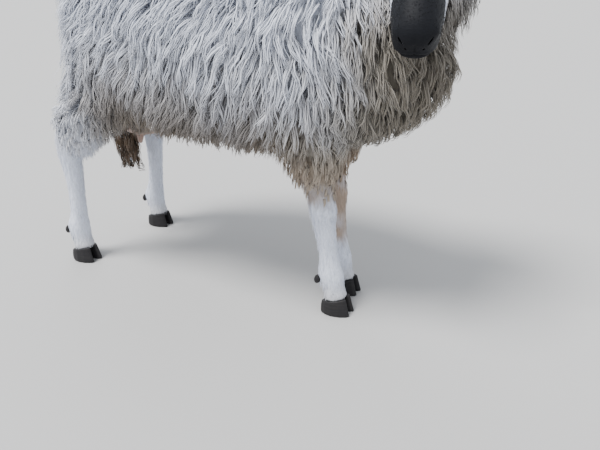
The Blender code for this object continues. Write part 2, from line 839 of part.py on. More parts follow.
def sound_locks(roots, surface, lie_at, shell, draw, size_at):
    """A lock at each root, drawn again while it folds into itself, and left out if it always does."""
    locks = []
    for point, normal in roots:
        for _ in range(MOST_DRAWS):
            wisp = Lock(point, normal, surface, lie_at, shell, draw, size_at(point))
            if wisp.is_sound():
                locks.append(wisp)
                break
    return locks


def nudge_nearest(locks, places, draw):
    nearest = {min(locks, key=lambda wisp: wisp.distance(place)) for place in places}
    for wisp in sorted(nearest, key=locks.index):
        wisp.nudge(draw)


def surface_of(shape):
    return BVHTree.FromObject(shape, bpy.context.evaluated_depsgraph_get())


def body_locks(core, draw):
    face = from_head((0.06, 0, 0))

    def allowed(point, normal):
        near_face = (point - face).length < 0.085
        between_legs = point.z < 0.30 and abs(point.y) < 0.055
        return not near_face and not between_legs

    roots = spread_roots(core, LOCK_SPACING, draw, allowed)
    return sound_locks(roots, surface_of(core), body_lie, COAT_SHELL, draw,
                       lambda point: LOW_LOCK_SIZE if point.z < LOW_COAT else 1.0)


def woolly_tail(draw):
    """The tail's core with its locks, and the same form a little larger, as a cutter."""
    core = tail_core(TAIL_SHELL)

    def allowed(point, normal):
        return point.x < HIND_X + 0.012 or point.z < 0.50

    roots = spread_roots(core, TAIL_LOCK_SPACING, draw, allowed)
    locks = sound_locks(roots, surface_of(core), tail_lie, TAIL_SHELL, draw,
                        lambda point: TAIL_LOCK_SIZE)
    for _ in range(MOST_NUDGES):
        made = keep_largest(join(copy_of(core, "tail"), *[wisp.solid() for wisp in locks]))
        places = touching_places(made)
        if not places:
            break
        nudge_nearest(locks, places, draw)
        remove(made)
    larger = grown(core, 2 * GAP, "tail_larger")
    join(larger, *[wisp.solid(LOCK_GAP) for wisp in locks])
    remove(core)
    return made, larger


# The fleece body is parted into neck, torso and thighs.

NECK_CUT = Vector((FORE_X + 0.020, 0.0, 0.540))
NECK_CUT_WAY = Vector((0.74, 0.0, 0.67)).normalized()
THIGH_CUT_FRONT = FORE_X - 0.345
THIGH_CUT_TOP = 0.430
THIGH_CUT_INNER = 0.034


# The nodes whose locks hang over a neighbour, each with that neighbour.
OVER_AND_UNDER = (
    ("neck", "torso"),
    ("torso", "thigh_left"),
    ("torso", "thigh_right"),
    ("thigh_right", "thigh_left"),
)


def neck_region(extra=0.0):
    """A large box beyond the neck's base."""
    turn = NECK_CUT_WAY.to_track_quat("Z", "Y").to_matrix()
    made = box("neck_region", (-0.6, -0.6, -extra), (0.6, 0.6, 0.8))
    for vertex in made.data.vertices:
        vertex.co = NECK_CUT + turn @ vertex.co
    return made


def thigh_region(side, extra=0.0):
    inner = THIGH_CUT_INNER - extra
    low = (FORE_X - 0.8, inner if side > 0 else -0.4, 0.0)
    high = (THIGH_CUT_FRONT + extra, 0.4 if side > 0 else -inner, THIGH_CUT_TOP + extra)
    return box("thigh_region", low, high)


def home_of(point):
    """The node that a lock rooted at this point belongs to."""
    if (point - NECK_CUT).dot(NECK_CUT_WAY) > 0:
        return "neck"
    low = point.z < THIGH_CUT_TOP and point.x < THIGH_CUT_FRONT
    if low and abs(point.y) > THIGH_CUT_INNER:
        return "thigh_left" if point.y > 0 else "thigh_right"
    return "torso"


def fleece_nodes(core, larger, locks):
    """Each node is its share of the core with its own locks. A lock that hangs over the next
    node stays whole, and the node below it is cut clear of it."""
    homes = {"neck": [], "torso": [], "thigh_left": [], "thigh_right": []}
    for wisp in locks:
        homes[home_of(wisp.root)].append(wisp)

    neck = common(copy_of(core, "neck"), neck_region())
    join(neck, *[wisp.solid() for wisp in homes["neck"]])
    cut(neck, cut(copy_of(larger, "beyond"), neck_region()))

    torso = cut(copy_of(core, "torso"), neck_region(GAP), thigh_region(1, GAP),
                thigh_region(-1, GAP))
    join(torso, *[wisp.solid() for wisp in homes["torso"]])
    cut(torso, common(copy_of(larger, "neck_share"), neck_region(GAP)))
    cut_at_once(torso, [wisp.solid(LOCK_GAP) for wisp in homes["neck"]])

    nodes = {"neck": neck, "torso": torso}
    for name, side in (("thigh_left", 1), ("thigh_right", -1)):
        thigh = common(copy_of(core, name), thigh_region(side))
        join(thigh, *[wisp.solid() for wisp in homes[name]])
        cut(thigh, cut(copy_of(larger, "beyond"), thigh_region(side)))
        cut_at_once(thigh, [wisp.solid(LOCK_GAP) for wisp in homes["torso"]])
        nodes[name] = thigh
    # The two thighs' locks may reach each other under the belly.
    cut_at_once(nodes["thigh_left"], [wisp.solid(LOCK_GAP) for wisp in homes["thigh_right"]])
    return nodes


def fleece_clear_of(cutters, tail, draw):
    """The nodes of the fleece, each cut clear of what stands in it, and none touching itself."""
    core = fleece_core(COAT_SHELL)
    larger = fleece_core(COAT_SHELL - GAP)
    locks = body_locks(core, draw)
    for _ in range(MOST_NUDGES):
        nodes = fleece_nodes(core, larger, locks)
        places = []
        for node in nodes.values():
            for cutter in cutters:
                cut(node, copy_of(cutter, "cutter"))
            places += touching_places(keep_largest(node))
        for first, second in OVER_AND_UNDER:
            places += overlap_places(nodes[first], nodes[second])
        for name in ("torso", "thigh_left", "thigh_right"):
            places += overlap_places(nodes[name], tail)
        if not places:
            break
        nudge_nearest(locks, places, draw)
        remove(*nodes.values())
    remove(core, larger)
    return nodes


# Assembly.

def build_ewe():
    wool = material("wool", WOOL, 0.95)
    short_hair = material("short_hair", SHORT_HAIR, 0.85)
    black_face = material("face", FACE_BLACK, 0.6)
    horn = material("horn", HORN_BLACK, 0.5)
    stained = material("stained_wool", STAINED, 0.95)
    bare = material("bare_skin", BARE_SKIN, 0.6)
    eye_look = material("eye", EYE_BROWN, 0.1)
    draw = random.Random(RANDOM_SEED)
    sides = {"left": 1, "right": -1}
    in_the_fleece = []

    head = head_solid()
    in_the_fleece.append(head_solid(GAP))
    for name, side in sides.items():
        add_lids(head, side)
        cut(head, nostril(side))
        in_the_fleece.append(lid_mound(side, GAP))
        ear = ear_solid(side)
        in_the_fleece.append(grown(ear, 2 * GAP, "ear_cutter"))
        cut(ear, head_solid(GAP))
        finish(keep_largest(ear), f"ear_{name}", short_hair)
        finish(eye(side), f"eye_{name}", eye_look)
    cut(head, mouth_groove())
    finish(keep_largest(head), "head", black_face)

    for name, side in sides.items():
        feet = {
            f"foreleg_{name}": (FORELEG, Vector((fore_foot_x(side), side * FORE_STEP, 0))),
            f"hindleg_{name}": (HINDLEG, Vector((hind_foot_x(side), side * HIND_STEP, 0))),
        }
        for limb, (stations, foot) in feet.items():
            finish(leg(limb, stations, foot, side), limb, short_hair)
            in_the_fleece.append(leg("leg_cutter", stations, foot, side, GAP))
            for hand, place in ((side, "outer"), (-side, "inner")):
                finish(claw("claw", foot, hand), f"hoof_{limb}_{place}", horn)
                clear_of = leg("leg_cutter", stations, foot, side, GAP)
                small = dewclaw("dewclaw", foot, hand, stations[FETLOCK], clear_of)
                finish(keep_largest(small), f"dewclaw_{limb}_{place}", horn)

    tail, tail_cutter = woolly_tail(draw)
    finish(tail, "tail", stained)
    finish(udder(), "udder", bare)
    in_the_fleece += [tail_cutter, udder(GAP)]

    for name, node in fleece_clear_of(in_the_fleece, tail, draw).items():
        finish(node, name, wool)
    remove(*in_the_fleece)


def stand_at_origin():
    """Moves every node so that the middle of the ewe's box is over the origin."""
    points = [vertex.co for node in EWE.objects for vertex in node.data.vertices]
    middle_x = (min(point.x for point in points) + max(point.x for point in points)) / 2
    middle_y = (min(point.y for point in points) + max(point.y for point in points)) / 2
    shift = Matrix.Translation((-middle_x, -middle_y, 0))
    for node in EWE.objects:
        node.data.transform(shift)


build_ewe()
stand_at_origin()
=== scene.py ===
# The looks of a life-size standing ewe in long shaggy fleece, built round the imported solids.
# Metres, +X forward, +Y to her left, +Z up, the floor at z = 0.

import math
from collections import namedtuple

import bpy
import bmesh
import numpy as np
from mathutils import Matrix, Vector
from mathutils.bvhtree import BVHTree


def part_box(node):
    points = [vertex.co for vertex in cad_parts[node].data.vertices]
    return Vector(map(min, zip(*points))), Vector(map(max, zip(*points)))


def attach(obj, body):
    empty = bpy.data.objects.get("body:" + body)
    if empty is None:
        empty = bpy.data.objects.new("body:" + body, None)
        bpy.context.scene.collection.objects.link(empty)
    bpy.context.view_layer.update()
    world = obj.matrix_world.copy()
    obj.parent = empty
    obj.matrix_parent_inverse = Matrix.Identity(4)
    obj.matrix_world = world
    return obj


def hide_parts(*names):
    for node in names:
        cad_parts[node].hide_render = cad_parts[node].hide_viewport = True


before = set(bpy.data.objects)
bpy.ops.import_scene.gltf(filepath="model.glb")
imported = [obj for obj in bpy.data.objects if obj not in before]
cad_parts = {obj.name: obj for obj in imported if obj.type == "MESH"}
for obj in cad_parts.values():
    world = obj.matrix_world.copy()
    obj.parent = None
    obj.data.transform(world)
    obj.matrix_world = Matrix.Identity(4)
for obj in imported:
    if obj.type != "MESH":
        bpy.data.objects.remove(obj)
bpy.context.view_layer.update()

AXIS_X = Vector((1, 0, 0))
AXIS_Y = Vector((0, 1, 0))
AXIS_Z = Vector((0, 0, 1))

# Driving dimensions, the same as the solids'.
FORE_X = 0.172             # middle of the two fore feet
HIND_X = FORE_X - 0.555    # middle of the two hind feet
FORE_STEP = 0.037
FORE_STAGGER = 0.0085
HIND_STEP = 0.110
HIND_STAGGER = 0.0075
POLL = Vector((FORE_X + 0.108, 0.0095, 0.652))
NOSE = Vector((FORE_X + 0.160, -0.1605, 0.488))
EYE_RADIUS = 0.0155
EAR_LENGTH = 0.128
CLAW_TOP = 0.024

# How far the bare skin lies inside the outline of the coat, and the largest share of a half width
# that the wool may take.
WOOL_DEPTH = 0.044
TAIL_WOOL_DEPTH = 0.018
SHORT_HAIR_DEPTH = 0.0010
BARREL_WOOL = 0.8
NECK_WOOL = 0.7
LIMB_WOOL = 0.6
THINNEST_TAIL = 0.004      # half width of the tail's core at its end

# Fineness of the surfaces before they are joined.
BODY_VOXEL = 0.007
LIMB_VOXEL = 0.003
HEAD_VOXEL = 0.0016
HOOF_VOXEL = 0.0013
DEWCLAW_VOXEL = 0.0010

RANDOM_SEED = 7

draw = np.random.default_rng(RANDOM_SEED)


# The head's own frame: x from the poll to the nose, y to her left, z out of the forehead.

HEAD_AXIS = (NOSE - POLL).normalized()
HEAD_UP = (AXIS_Z - HEAD_AXIS * AXIS_Z.dot(HEAD_AXIS)).normalized()
HEAD_SIDE = HEAD_UP.cross(HEAD_AXIS)
HEAD_TURN = Matrix((HEAD_AXIS, HEAD_SIDE, HEAD_UP)).transposed()
EYE_PLACE = Vector((0.078, 0.0410, 0.021))
EAR_ROOT = Vector((-0.004, 0.048, 0.030))


def from_head(point):
    return POLL + HEAD_TURN @ Vector(point)


# The solids were moved so that the middle of their box is over the origin.
low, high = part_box("eye_left")
SHIFT = (low + high) / 2 - from_head(EYE_PLACE)
SHIFT.z = 0.0
HEAD_FRAME = np.array(HEAD_TURN)
HEAD_ORIGIN = np.array(POLL + SHIFT)


def to_head(points):
    """World points, as rows, in the head's frame."""
    return (points - HEAD_ORIGIN) @ HEAD_FRAME


def drawn(points):
    """World points, as rows, where the driving dimensions have them."""
    return points - np.array(SHIFT)


# Helpers for meshes.

def make_object(name, mesh):
    made = bpy.data.objects.new(name, mesh)
    bpy.context.scene.collection.objects.link(made)
    return made


def remove(*shapes):
    for shape in shapes:
        bpy.data.objects.remove(shape)


def apply_modifiers(shape):
    bpy.context.view_layer.update()
    graph = bpy.context.evaluated_depsgraph_get()
    mesh = bpy.data.meshes.new_from_object(shape.evaluated_get(graph))
    shape.modifiers.clear()
    shape.data = mesh
    return shape


def combine(base, other, operation):
    change = base.modifiers.new("combine", "BOOLEAN")
    change.operation = operation
    change.object = other
    change.solver = "MANIFOLD"
    apply_modifiers(base)
    remove(other)
    return base


def rows_of(shape, field="co"):
    """The places or the normals of a mesh's vertices, one row each."""
    values = np.empty(len(shape.data.vertices) * 3, np.float32)
    shape.data.vertices.foreach_get(field, values)
    return values.reshape(-1, 3).astype(np.float64)


def set_points(shape, points):
    shape.data.vertices.foreach_set("co", points.astype(np.float32).ravel())
    shape.data.update()


def surface_of(shape):
    return BVHTree.FromObject(shape, bpy.context.evaluated_depsgraph_get())


def power(value, exponent):
    return math.copysign(abs(value) ** exponent, value)


def section(centre, side, up, half_width, above, below, count=24, roundness=2.0):
    """A ring round a centre: half_width to each side, above and below it along up."""
    exponent = 2.0 / roundness
    ring = []
    for step in range(count):
        angle = math.tau * step / count
        across = half_width * power(math.cos(angle), exponent)
        rise = power(math.sin(angle), exponent)
        rise *= above if rise > 0 else below
        ring.append(centre + side * across + up * rise)
    return ring


def loft(name, rings):
    """A closed form through rings of equally many points, moved to where the solids stand."""
    count = len(rings[0])
    points = [point + SHIFT for ring in rings for point in ring]
    faces = [tuple(range(count))[::-1]]
    for low_ring in range(len(rings) - 1):
        for side in range(count):
            after = (side + 1) % count
            a = low_ring * count + side
            b = low_ring * count + after
            faces.append((a, b, b + count, a + count))
    faces.append(tuple(range((len(rings) - 1) * count, len(rings) * count)))
    mesh = bpy.data.meshes.new(name)
    mesh.from_pydata(points, [], faces)
    shape = bmesh.new()
    shape.from_mesh(mesh)
    bmesh.ops.recalc_face_normals(shape, faces=shape.faces)
    if shape.calc_volume(signed=True) < 0:
        bmesh.ops.reverse_faces(shape, faces=shape.faces)
    shape.to_mesh(mesh)
    shape.free()
    return make_object(name, mesh)


def ball(name, centre, radius, scale=(1, 1, 1), turn=None, segments=32, rings=20):
    mesh = bpy.data.meshes.new(name)
    shape = bmesh.new()
    bmesh.ops.create_uvsphere(shape, u_segments=segments, v_segments=rings, radius=radius)
    place = Matrix.Translation(centre + SHIFT)
    if turn is not None:
        place = place @ turn.to_4x4()
    place = place @ Matrix.Diagonal((*scale, 1.0))
    bmesh.ops.transform(shape, matrix=place, verts=shape.verts)
    shape.to_mesh(mesh)
    shape.free()
    return make_object(name, mesh)


def smooth_rows(rows, steps=3):
    """The rows of a table, with smooth in-between rows (a Catmull-Rom curve through them)."""
    table = np.array(rows, float)
    ends = np.vstack([2 * table[0] - table[1], table, 2 * table[-1] - table[-2]])
    dense = []
    for index in range(1, len(ends) - 2):
        before, start, end, after = ends[index - 1:index + 3]
        for step in range(steps):
            t = step / steps
            dense.append(0.5 * (2 * start + (end - before) * t
                                + (2 * before - 5 * start + 4 * end - after) * t * t
                                + (3 * start - before - 3 * end + after) * t ** 3))
    dense.append(table[-1])
    return [tuple(row) for row in dense]


def tube_rings(stations, side, count=24):
    """Rings across a bent middle line; each station is its middle, half width and half depth."""
    rings = []
    for index, (centre, half_width, half_depth) in enumerate(stations):
        before = stations[max(index - 1, 0)][0]
        after = stations[min(index + 1, len(stations) - 1)][0]
        along = (after - before).normalized()
        across = (side - along * side.dot(along)).normalized()
        rings.append(section(centre, across, along.cross(across), half_width, half_depth,
                             half_depth, count))
    return rings


def softened(shape, voxel, smoothing):
    """The same form with one even surface and its corners rounded off."""
    change = shape.modifiers.new("remesh", "REMESH")
    change.mode = "VOXEL"
    change.voxel_size = voxel
    soften = shape.modifiers.new("soften", "SMOOTH")
    soften.factor = 0.5
    soften.iterations = smoothing
    return apply_modifiers(shape)


def remeshed(name, shapes, voxel, smoothing):
    """One closed surface round all the shapes."""
    points = []
    faces = []
    for shape in shapes:
        start = len(points)
        points += [vertex.co.copy() for vertex in shape.data.vertices]
        faces += [tuple(start + index for index in polygon.vertices)
                  for polygon in shape.data.polygons]
    remove(*shapes)
    mesh = bpy.data.meshes.new(name)
    mesh.from_pydata(points, [], faces)
    return softened(make_object(name, mesh), voxel, smoothing)


# The body under the wool.

# Barrel stations: x from the fore feet, half width, top, bottom.
BARREL = (
    (-0.553, 0.036, 0.540, 0.440),
    (-0.540, 0.075, 0.580, 0.385),
    (-0.505, 0.122, 0.618, 0.335),
    (-0.445, 0.164, 0.648, 0.304),
    (-0.360, 0.190, 0.660, 0.290),
    (-0.260, 0.202, 0.658, 0.283),
    (-0.150, 0.202, 0.656, 0.279),
    (-0.060, 0.188, 0.654, 0.278),
    (0.015, 0.168, 0.632, 0.282),
    (0.080, 0.144, 0.580, 0.305),
    (0.128, 0.114, 0.530, 0.342),
    (0.160, 0.062, 0.485, 0.398),
)

# Neck stations along its middle line: x from the fore feet, y, z, half width, half depth.
NECK = (
    (-0.100, 0.000, 0.470, 0.130, 0.160),
    (-0.015, 0.010, 0.503, 0.130, 0.156),
    (0.054, 0.034, 0.550, 0.112, 0.138),
    (0.094, 0.056, 0.600, 0.098, 0.118),
    (0.112, 0.058, 0.640, 0.092, 0.100),
    (0.112, 0.036, 0.676, 0.078, 0.078),
    (0.106, 0.018, 0.702, 0.048, 0.042),
)

# Upper arm and thigh stations: x from the feet, y out from the middle, z, half width, half depth.
UPPER_ARM = (
    (-0.060, 0.095, 0.500, 0.075, 0.110),
    (-0.050, 0.085, 0.400, 0.072, 0.098),
    (-0.038, 0.066, 0.330, 0.060, 0.072),
    (-0.032, 0.054, 0.285, 0.048, 0.054),
    (-0.030, 0.049, 0.260, 0.038, 0.042),
)
THIGH = (
    (0.165, 0.095, 0.520, 0.085, 0.100),
    (0.150, 0.103, 0.440, 0.084, 0.100),
    (0.125, 0.106, 0.370, 0.074, 0.088),
    (0.084, 0.108, 0.320, 0.060, 0.068),
    (0.050, 0.109, 0.288, 0.047, 0.052),
    (0.032, 0.110, 0.266, 0.039, 0.044),
)
WOOL_ENDS = 0.25           # height at which the wool has thinned out to short hair
WOOL_FULL = 0.37           # height above which it has its whole depth
LEAST_WOOL = 0.10          # share of the depth that is left at the lower height

# Stations of a leg from its top down: x from the foot, extra y outward, z, half width,
# half depth ahead, half depth behind.
FORELEG = (
    (-0.040, 0.010, 0.296, 0.029, 0.033, 0.036),
    (-0.034, 0.008, 0.262, 0.027, 0.029, 0.031),
    (-0.028, 0.006, 0.228, 0.0220, 0.024, 0.025),
    (-0.024, 0.005, 0.200, 0.0240, 0.026, 0.024),
    (-0.021, 0.004, 0.176, 0.0205, 0.021, 0.021),
    (-0.014, 0.002, 0.130, 0.0175, 0.0180, 0.0180),
    (-0.009, 0.001, 0.098, 0.0180, 0.0185, 0.0210),
    (-0.005, 0.000, 0.074, 0.0215, 0.0220, 0.0270),
    (0.000, 0.000, 0.050, 0.0195, 0.0200, 0.0225),
    (0.003, 0.000, 0.034, 0.0210, 0.0225, 0.0225),
)
HINDLEG = (
    (0.062, 0.002, 0.322, 0.031, 0.040, 0.038),
    (0.038, 0.002, 0.296, 0.0275, 0.037, 0.039),
    (0.021, 0.002, 0.274, 0.0240, 0.029, 0.036),
    (0.015, 0.002, 0.252, 0.0228, 0.026, 0.033),
    (0.013, 0.002, 0.220, 0.0188, 0.0215, 0.0235),
    (0.010, 0.001, 0.160, 0.0166, 0.0175, 0.0178),
    (0.004, 0.000, 0.108, 0.0172, 0.0182, 0.0195),
    (-0.002, 0.000, 0.078, 0.0215, 0.0225, 0.0275),
    (0.001, 0.000, 0.052, 0.0195, 0.0205, 0.0230),
    (0.004, 0.000, 0.034, 0.0210, 0.0225, 0.0225),
)
# Tail stations: x from the hind feet, y, z, half width, half depth.
TAIL = (
    (0.078, 0.000, 0.552, 0.036, 0.030),
    (0.030, 0.000, 0.566, 0.040, 0.032),
    (-0.002, 0.003, 0.548, 0.043, 0.034),
    (-0.014, 0.010, 0.500, 0.045, 0.035),
    (-0.016, 0.020, 0.430, 0.045, 0.034),
    (-0.010, 0.031, 0.350, 0.044, 0.033),
    (0.000, 0.040, 0.270, 0.040, 0.031),
    (0.008, 0.045, 0.205, 0.031, 0.026),
    (0.012, 0.047, 0.172, 0.022, 0.020),
)


def fore_foot(side):
    return Vector((FORE_X - side * FORE_STAGGER, side * FORE_STEP, 0))


def hind_foot(side):
    return Vector((HIND_X + side * HIND_STAGGER, side * HIND_STEP, 0))


def barrel():
    rings = []
    for x, half_width, top, bottom in smooth_rows(BARREL):
        inset = min(WOOL_DEPTH, half_width * BARREL_WOOL)
        middle = top * 0.52 + bottom * 0.48
        centre = Vector((FORE_X + x, 0, middle))
        rings.append(section(centre, AXIS_Y, AXIS_Z, half_width - inset, top - middle - inset,
                             middle - bottom - inset, 32, 2.25))
    return loft("barrel", rings)


def neck():
    stations = [(Vector((FORE_X + x, y, z)),
                 half_width - min(WOOL_DEPTH, half_width * NECK_WOOL),
                 half_depth - min(WOOL_DEPTH, half_depth * NECK_WOOL))
                for x, y, z, half_width, half_depth in smooth_rows(NECK)]
    return loft("neck", tube_rings(stations, AXIS_Y, 32))


def wool_share(height):
    """How much of the coat's depth there is at a height on a limb."""
    return min(1.0, max(LEAST_WOOL, (height - WOOL_ENDS) / (WOOL_FULL - WOOL_ENDS)))


def limb(name, table, foot, side):
    stations = []
    for x, y, z, half_width, half_depth in smooth_rows(table):
        inset = WOOL_DEPTH * wool_share(z)
        stations.append((Vector((foot.x + x, side * y, z)),
                         half_width - min(inset, half_width * LIMB_WOOL),
                         half_depth - min(inset, half_depth * LIMB_WOOL)))
    return loft(name, tube_rings(stations, AXIS_Y))


def tail_core():
    stations = [(Vector((HIND_X + x, y, z)), max(half_width - TAIL_WOOL_DEPTH, THINNEST_TAIL),
                 max(half_depth - TAIL_WOOL_DEPTH, THINNEST_TAIL))
                for x, y, z, half_width, half_depth in smooth_rows(TAIL)]
    return loft("tail_core", tube_rings(stations, AXIS_Y, 16))


# Udder stations: z, half width, half depth; a teat's: share of its length, half width.
UDDER_X = HIND_X + 0.115
UDDER = (
    (0.352, 0.060, 0.062),
    (0.325, 0.064, 0.064),
    (0.300, 0.060, 0.058),
    (0.282, 0.046, 0.044),
    (0.274, 0.024, 0.024),
)
TEAT = ((0.0, 0.0085), (0.6, 0.007), (1.0, 0.004))


def udder():
    rings = [section(Vector((UDDER_X, 0.0, z)), AXIS_Y, AXIS_X, half_width, half_depth,
                     half_depth, 32, 2.2)
             for z, half_width, half_depth in smooth_rows(UDDER)]
    pieces = [loft("udder", rings)]
    for side in (1, -1):
        top = Vector((UDDER_X + 0.012, side * 0.034, 0.292))
        tip = top + Vector((0.006, side * 0.010, -0.030))
        line = [(top.lerp(tip, share), radius, radius) for share, radius in TEAT]
        pieces.append(loft("teat", tube_rings(line, AXIS_Y, 16)))
    return pieces


CORONET_GAP = 0.004        # height of the skin's end over the middle of the claws
CORONET_SLOPE = 0.22       # how it rises toward the toe
CANNON_HEIGHT = 0.135      # middle and reach of the hollow before the tendon, and its depth
CANNON_REACH = 0.040
TENDON_HOLLOW = 0.0026


def coronet(ahead):
    return CLAW_TOP + CORONET_GAP + ahead * CORONET_SLOPE


def leg(table, foot, side):
    """A leg's skin, with the tendon behind the cannon standing clear of the bone by a hollow."""
    rings = []
    for x, outward, z, half_width, ahead, behind in smooth_rows(table, 4):
        centre = Vector((foot.x + x, foot.y + side * outward, z))
        ring = section(centre, AXIS_Y, AXIS_X, half_width - SHORT_HAIR_DEPTH,
                       ahead - SHORT_HAIR_DEPTH, behind - SHORT_HAIR_DEPTH, 28)
        cannon = math.exp(-((z - CANNON_HEIGHT) / CANNON_REACH) ** 2)
        for point in ring:
            aside = abs(point.y - centre.y) / half_width
            back = (centre.x - point.x) / behind
            hollow = math.exp(-((back - 0.30) / 0.28) ** 2) * aside
            point.y -= math.copysign(TENDON_HOLLOW * cannon * hollow, point.y - centre.y)
        rings.append(ring)
    rings[-1] = [Vector((point.x, point.y, coronet(point.x - foot.x))) for point in rings[-1]]
    return loft("leg", rings)


# The head.

# Head stations in its own frame: x, half width, height above and depth below the middle line.
HEAD = (
    (-0.050, 0.020, 0.012, 0.030),
    (-0.042, 0.034, 0.024, 0.046),
    (-0.020, 0.048, 0.039, 0.064),
    (0.012, 0.0565, 0.050, 0.075),
    (0.045, 0.0600, 0.056, 0.079),
    (0.075, 0.0575, 0.054, 0.075),
    (0.105, 0.0500, 0.0485, 0.065),
    (0.138, 0.0420, 0.0440, 0.054),
    (0.170, 0.0355, 0.0385, 0.045),
    (0.200, 0.0330, 0.0335, 0.042),
    (0.222, 0.0285, 0.0270, 0.037),
    (0.236, 0.0205, 0.0170, 0.028),
    (0.242, 0.0100, 0.0060, 0.013),
)


def head_form():
    taken = SHORT_HAIR_DEPTH
    rings = [section(from_head((x, 0, 0)), HEAD_SIDE, HEAD_UP, half_width - taken,
                     above - taken, below - taken, 40, 2.15)
             for x, half_width, above, below in smooth_rows(HEAD)]
    return loft("head", rings)


def eye_frame(side):
    """The eye's middle, the way it looks and the turn of its lids."""
    place = Vector((EYE_PLACE.x, side * EYE_PLACE.y, EYE_PLACE.z))
    outward = Vector((0.30, side * 0.90, 0.32)).normalized()
    along = Vector((0.92, 0, -0.12))
    along = (along - outward * along.dot(outward)).normalized()
    turn = HEAD_TURN @ Matrix((along, outward.cross(along), outward)).transposed()
    return place, outward, turn


def lid_mound(side):
    place, _, turn = eye_frame(side)
    return ball("lid_mound", from_head(place), EYE_RADIUS + LID_THICKNESS, (1.30, 1.07, 0.985),
                turn)


# Ear stations: share of its length, share of its width, share of its cup's depth.
EAR = (
    (-0.10, 0.34, 0.9),
    (0.04, 0.46, 1.0),
    (0.16, 0.72, 1.0),
    (0.32, 0.95, 0.9),
    (0.50, 1.0, 0.75),
    (0.68, 0.88, 0.6),
    (0.84, 0.60, 0.45),
    (0.95, 0.30, 0.3),
    (1.0, 0.10, 0.2),
)
EAR_HALF_WIDTH = 0.0270
EAR_SPREAD = [place / 5 for place in range(-5, 6)]
EAR_RIM = 0.94             # width of the cup's inner side against its outer one


def ear_form(side):
    """A cupped leaf: each ring is a crescent, open to the front."""
    root = Vector((EAR_ROOT.x, side * EAR_ROOT.y, EAR_ROOT.z))
    out = Vector((-0.22, side * 0.94, 0.02)).normalized()
    droop = Vector((0.10, 0, -0.30))
    face = Vector((0.80, side * 0.25, -0.45))
    rings = []
    for along, wide, cupped in smooth_rows(EAR):
        axis = (out + droop * along).normalized()
        centre = root + out * (EAR_LENGTH * along) + droop * (EAR_LENGTH * along * along * 0.5)
        front = (face - axis * face.dot(axis)).normalized()
        across = axis.cross(front)
        width = EAR_HALF_WIDTH * wide
        depth = width * 0.75 * cupped
        thick = 0.0018 + 0.0016 * (1 - along)
        outer = [centre + across * (width * place)
                 + front * (depth * (place * place - 0.5) - thick) for place in EAR_SPREAD]
        inner = [centre + across * (width * place * EAR_RIM)
                 + front * (depth * (place * place - 0.5) + thick) for place in EAR_SPREAD[::-1]]
        rings.append([from_head(point) for point in outer + inner])
    return loft("ear", rings)


# Soft rises and hollows of the head: middle, reach along x, y and z, and height.
HEAD_FORMS = (
    ((0.064, 0.043, 0.041), (0.020, 0.012, 0.009), 0.0040),
    ((0.108, 0.043, 0.010), (0.016, 0.012, 0.011), -0.0030),
    ((0.095, 0.047, -0.004), (0.020, 0.012, 0.006), 0.0022),
    ((0.050, 0.056, -0.032), (0.030, 0.018, 0.028), 0.0030),
    ((0.126, 0.044, -0.020), (0.022, 0.014, 0.018), -0.0030),
    ((0.040, 0.000, 0.054), (0.030, 0.026, 0.014), 0.0025),
    ((0.150, 0.000, 0.042), (0.045, 0.014, 0.014), 0.0022),
    ((0.165, 0.026, 0.020), (0.030, 0.010, 0.012), -0.0018),
    ((0.224, 0.023, 0.008), (0.009, 0.008, 0.009), 0.0028),
    ((0.222, 0.025, -0.014), (0.013, 0.012, 0.007), 0.0022),
    ((0.213, 0.000, -0.036), (0.014, 0.020, 0.009), 0.0020),
    ((0.240, 0.000, -0.004), (0.010, 0.0022, 0.013), -0.0022),
    ((0.100, 0.000, -0.070), (0.060, 0.018, 0.020), -0.0050),
)
MOUTH_HALF = 0.0013        # half the width of the line of the mouth
MOUTH_DEEP = 0.0034
LIP_RISE = 0.0014          # height of the lips beside it, their distance from it and their reach
LIP_AWAY = 0.0042
LIP_REACH = 0.0026
LID_THICKNESS = 0.0022
SOCKET_GAP = 0.0003        # between the eye and its socket


def mouth_distance(local):
    """How far points of the muzzle lie above the line of the mouth."""
    angle = np.arctan2(local[:, 1] / 0.0305, (local[:, 0] - 0.196) / 0.0400)
    line = -0.018 - 0.006 * (1 - np.cos(angle)) + 0.003 * np.cos(3 * angle)
    shown = np.clip((2.05 - np.abs(angle)) / 0.35, 0.0, 1.0) * (local[:, 0] > 0.17)
    return local[:, 2] - line, shown


def sculpt_head(shape):
    points = rows_of(shape)
    normals = rows_of(shape, "normal")
    local = to_head(points)
    move = np.zeros(len(points))
    for middle, reach, height in HEAD_FORMS:
        hands = (1,) if middle[1] == 0 else (1, -1)
        for hand in hands:
            centre = np.array((middle[0], middle[1] * hand, middle[2]))
            away = (((local - centre) / np.array(reach)) ** 2).sum(1)
            move += height * np.exp(-away)
    off, shown = mouth_distance(local)
    move -= MOUTH_DEEP * shown * np.exp(-(off / MOUTH_HALF) ** 2)
    move += LIP_RISE * shown * np.exp(-((np.abs(off) - LIP_AWAY) / LIP_REACH) ** 2)
    set_points(shape, points + normals * move[:, None])


def cut_eye(head, side):
    """The opening between the lids and the socket behind it."""
    place, outward, turn = eye_frame(side)
    opening = ball("lid_opening", from_head(place + outward * (EYE_RADIUS + 0.001)), 0.0100,
                   (1.22, 0.66, 0.85), turn)
    combine(head, opening, "DIFFERENCE")
    combine(head, ball("socket", from_head(place), EYE_RADIUS + SOCKET_GAP), "DIFFERENCE")


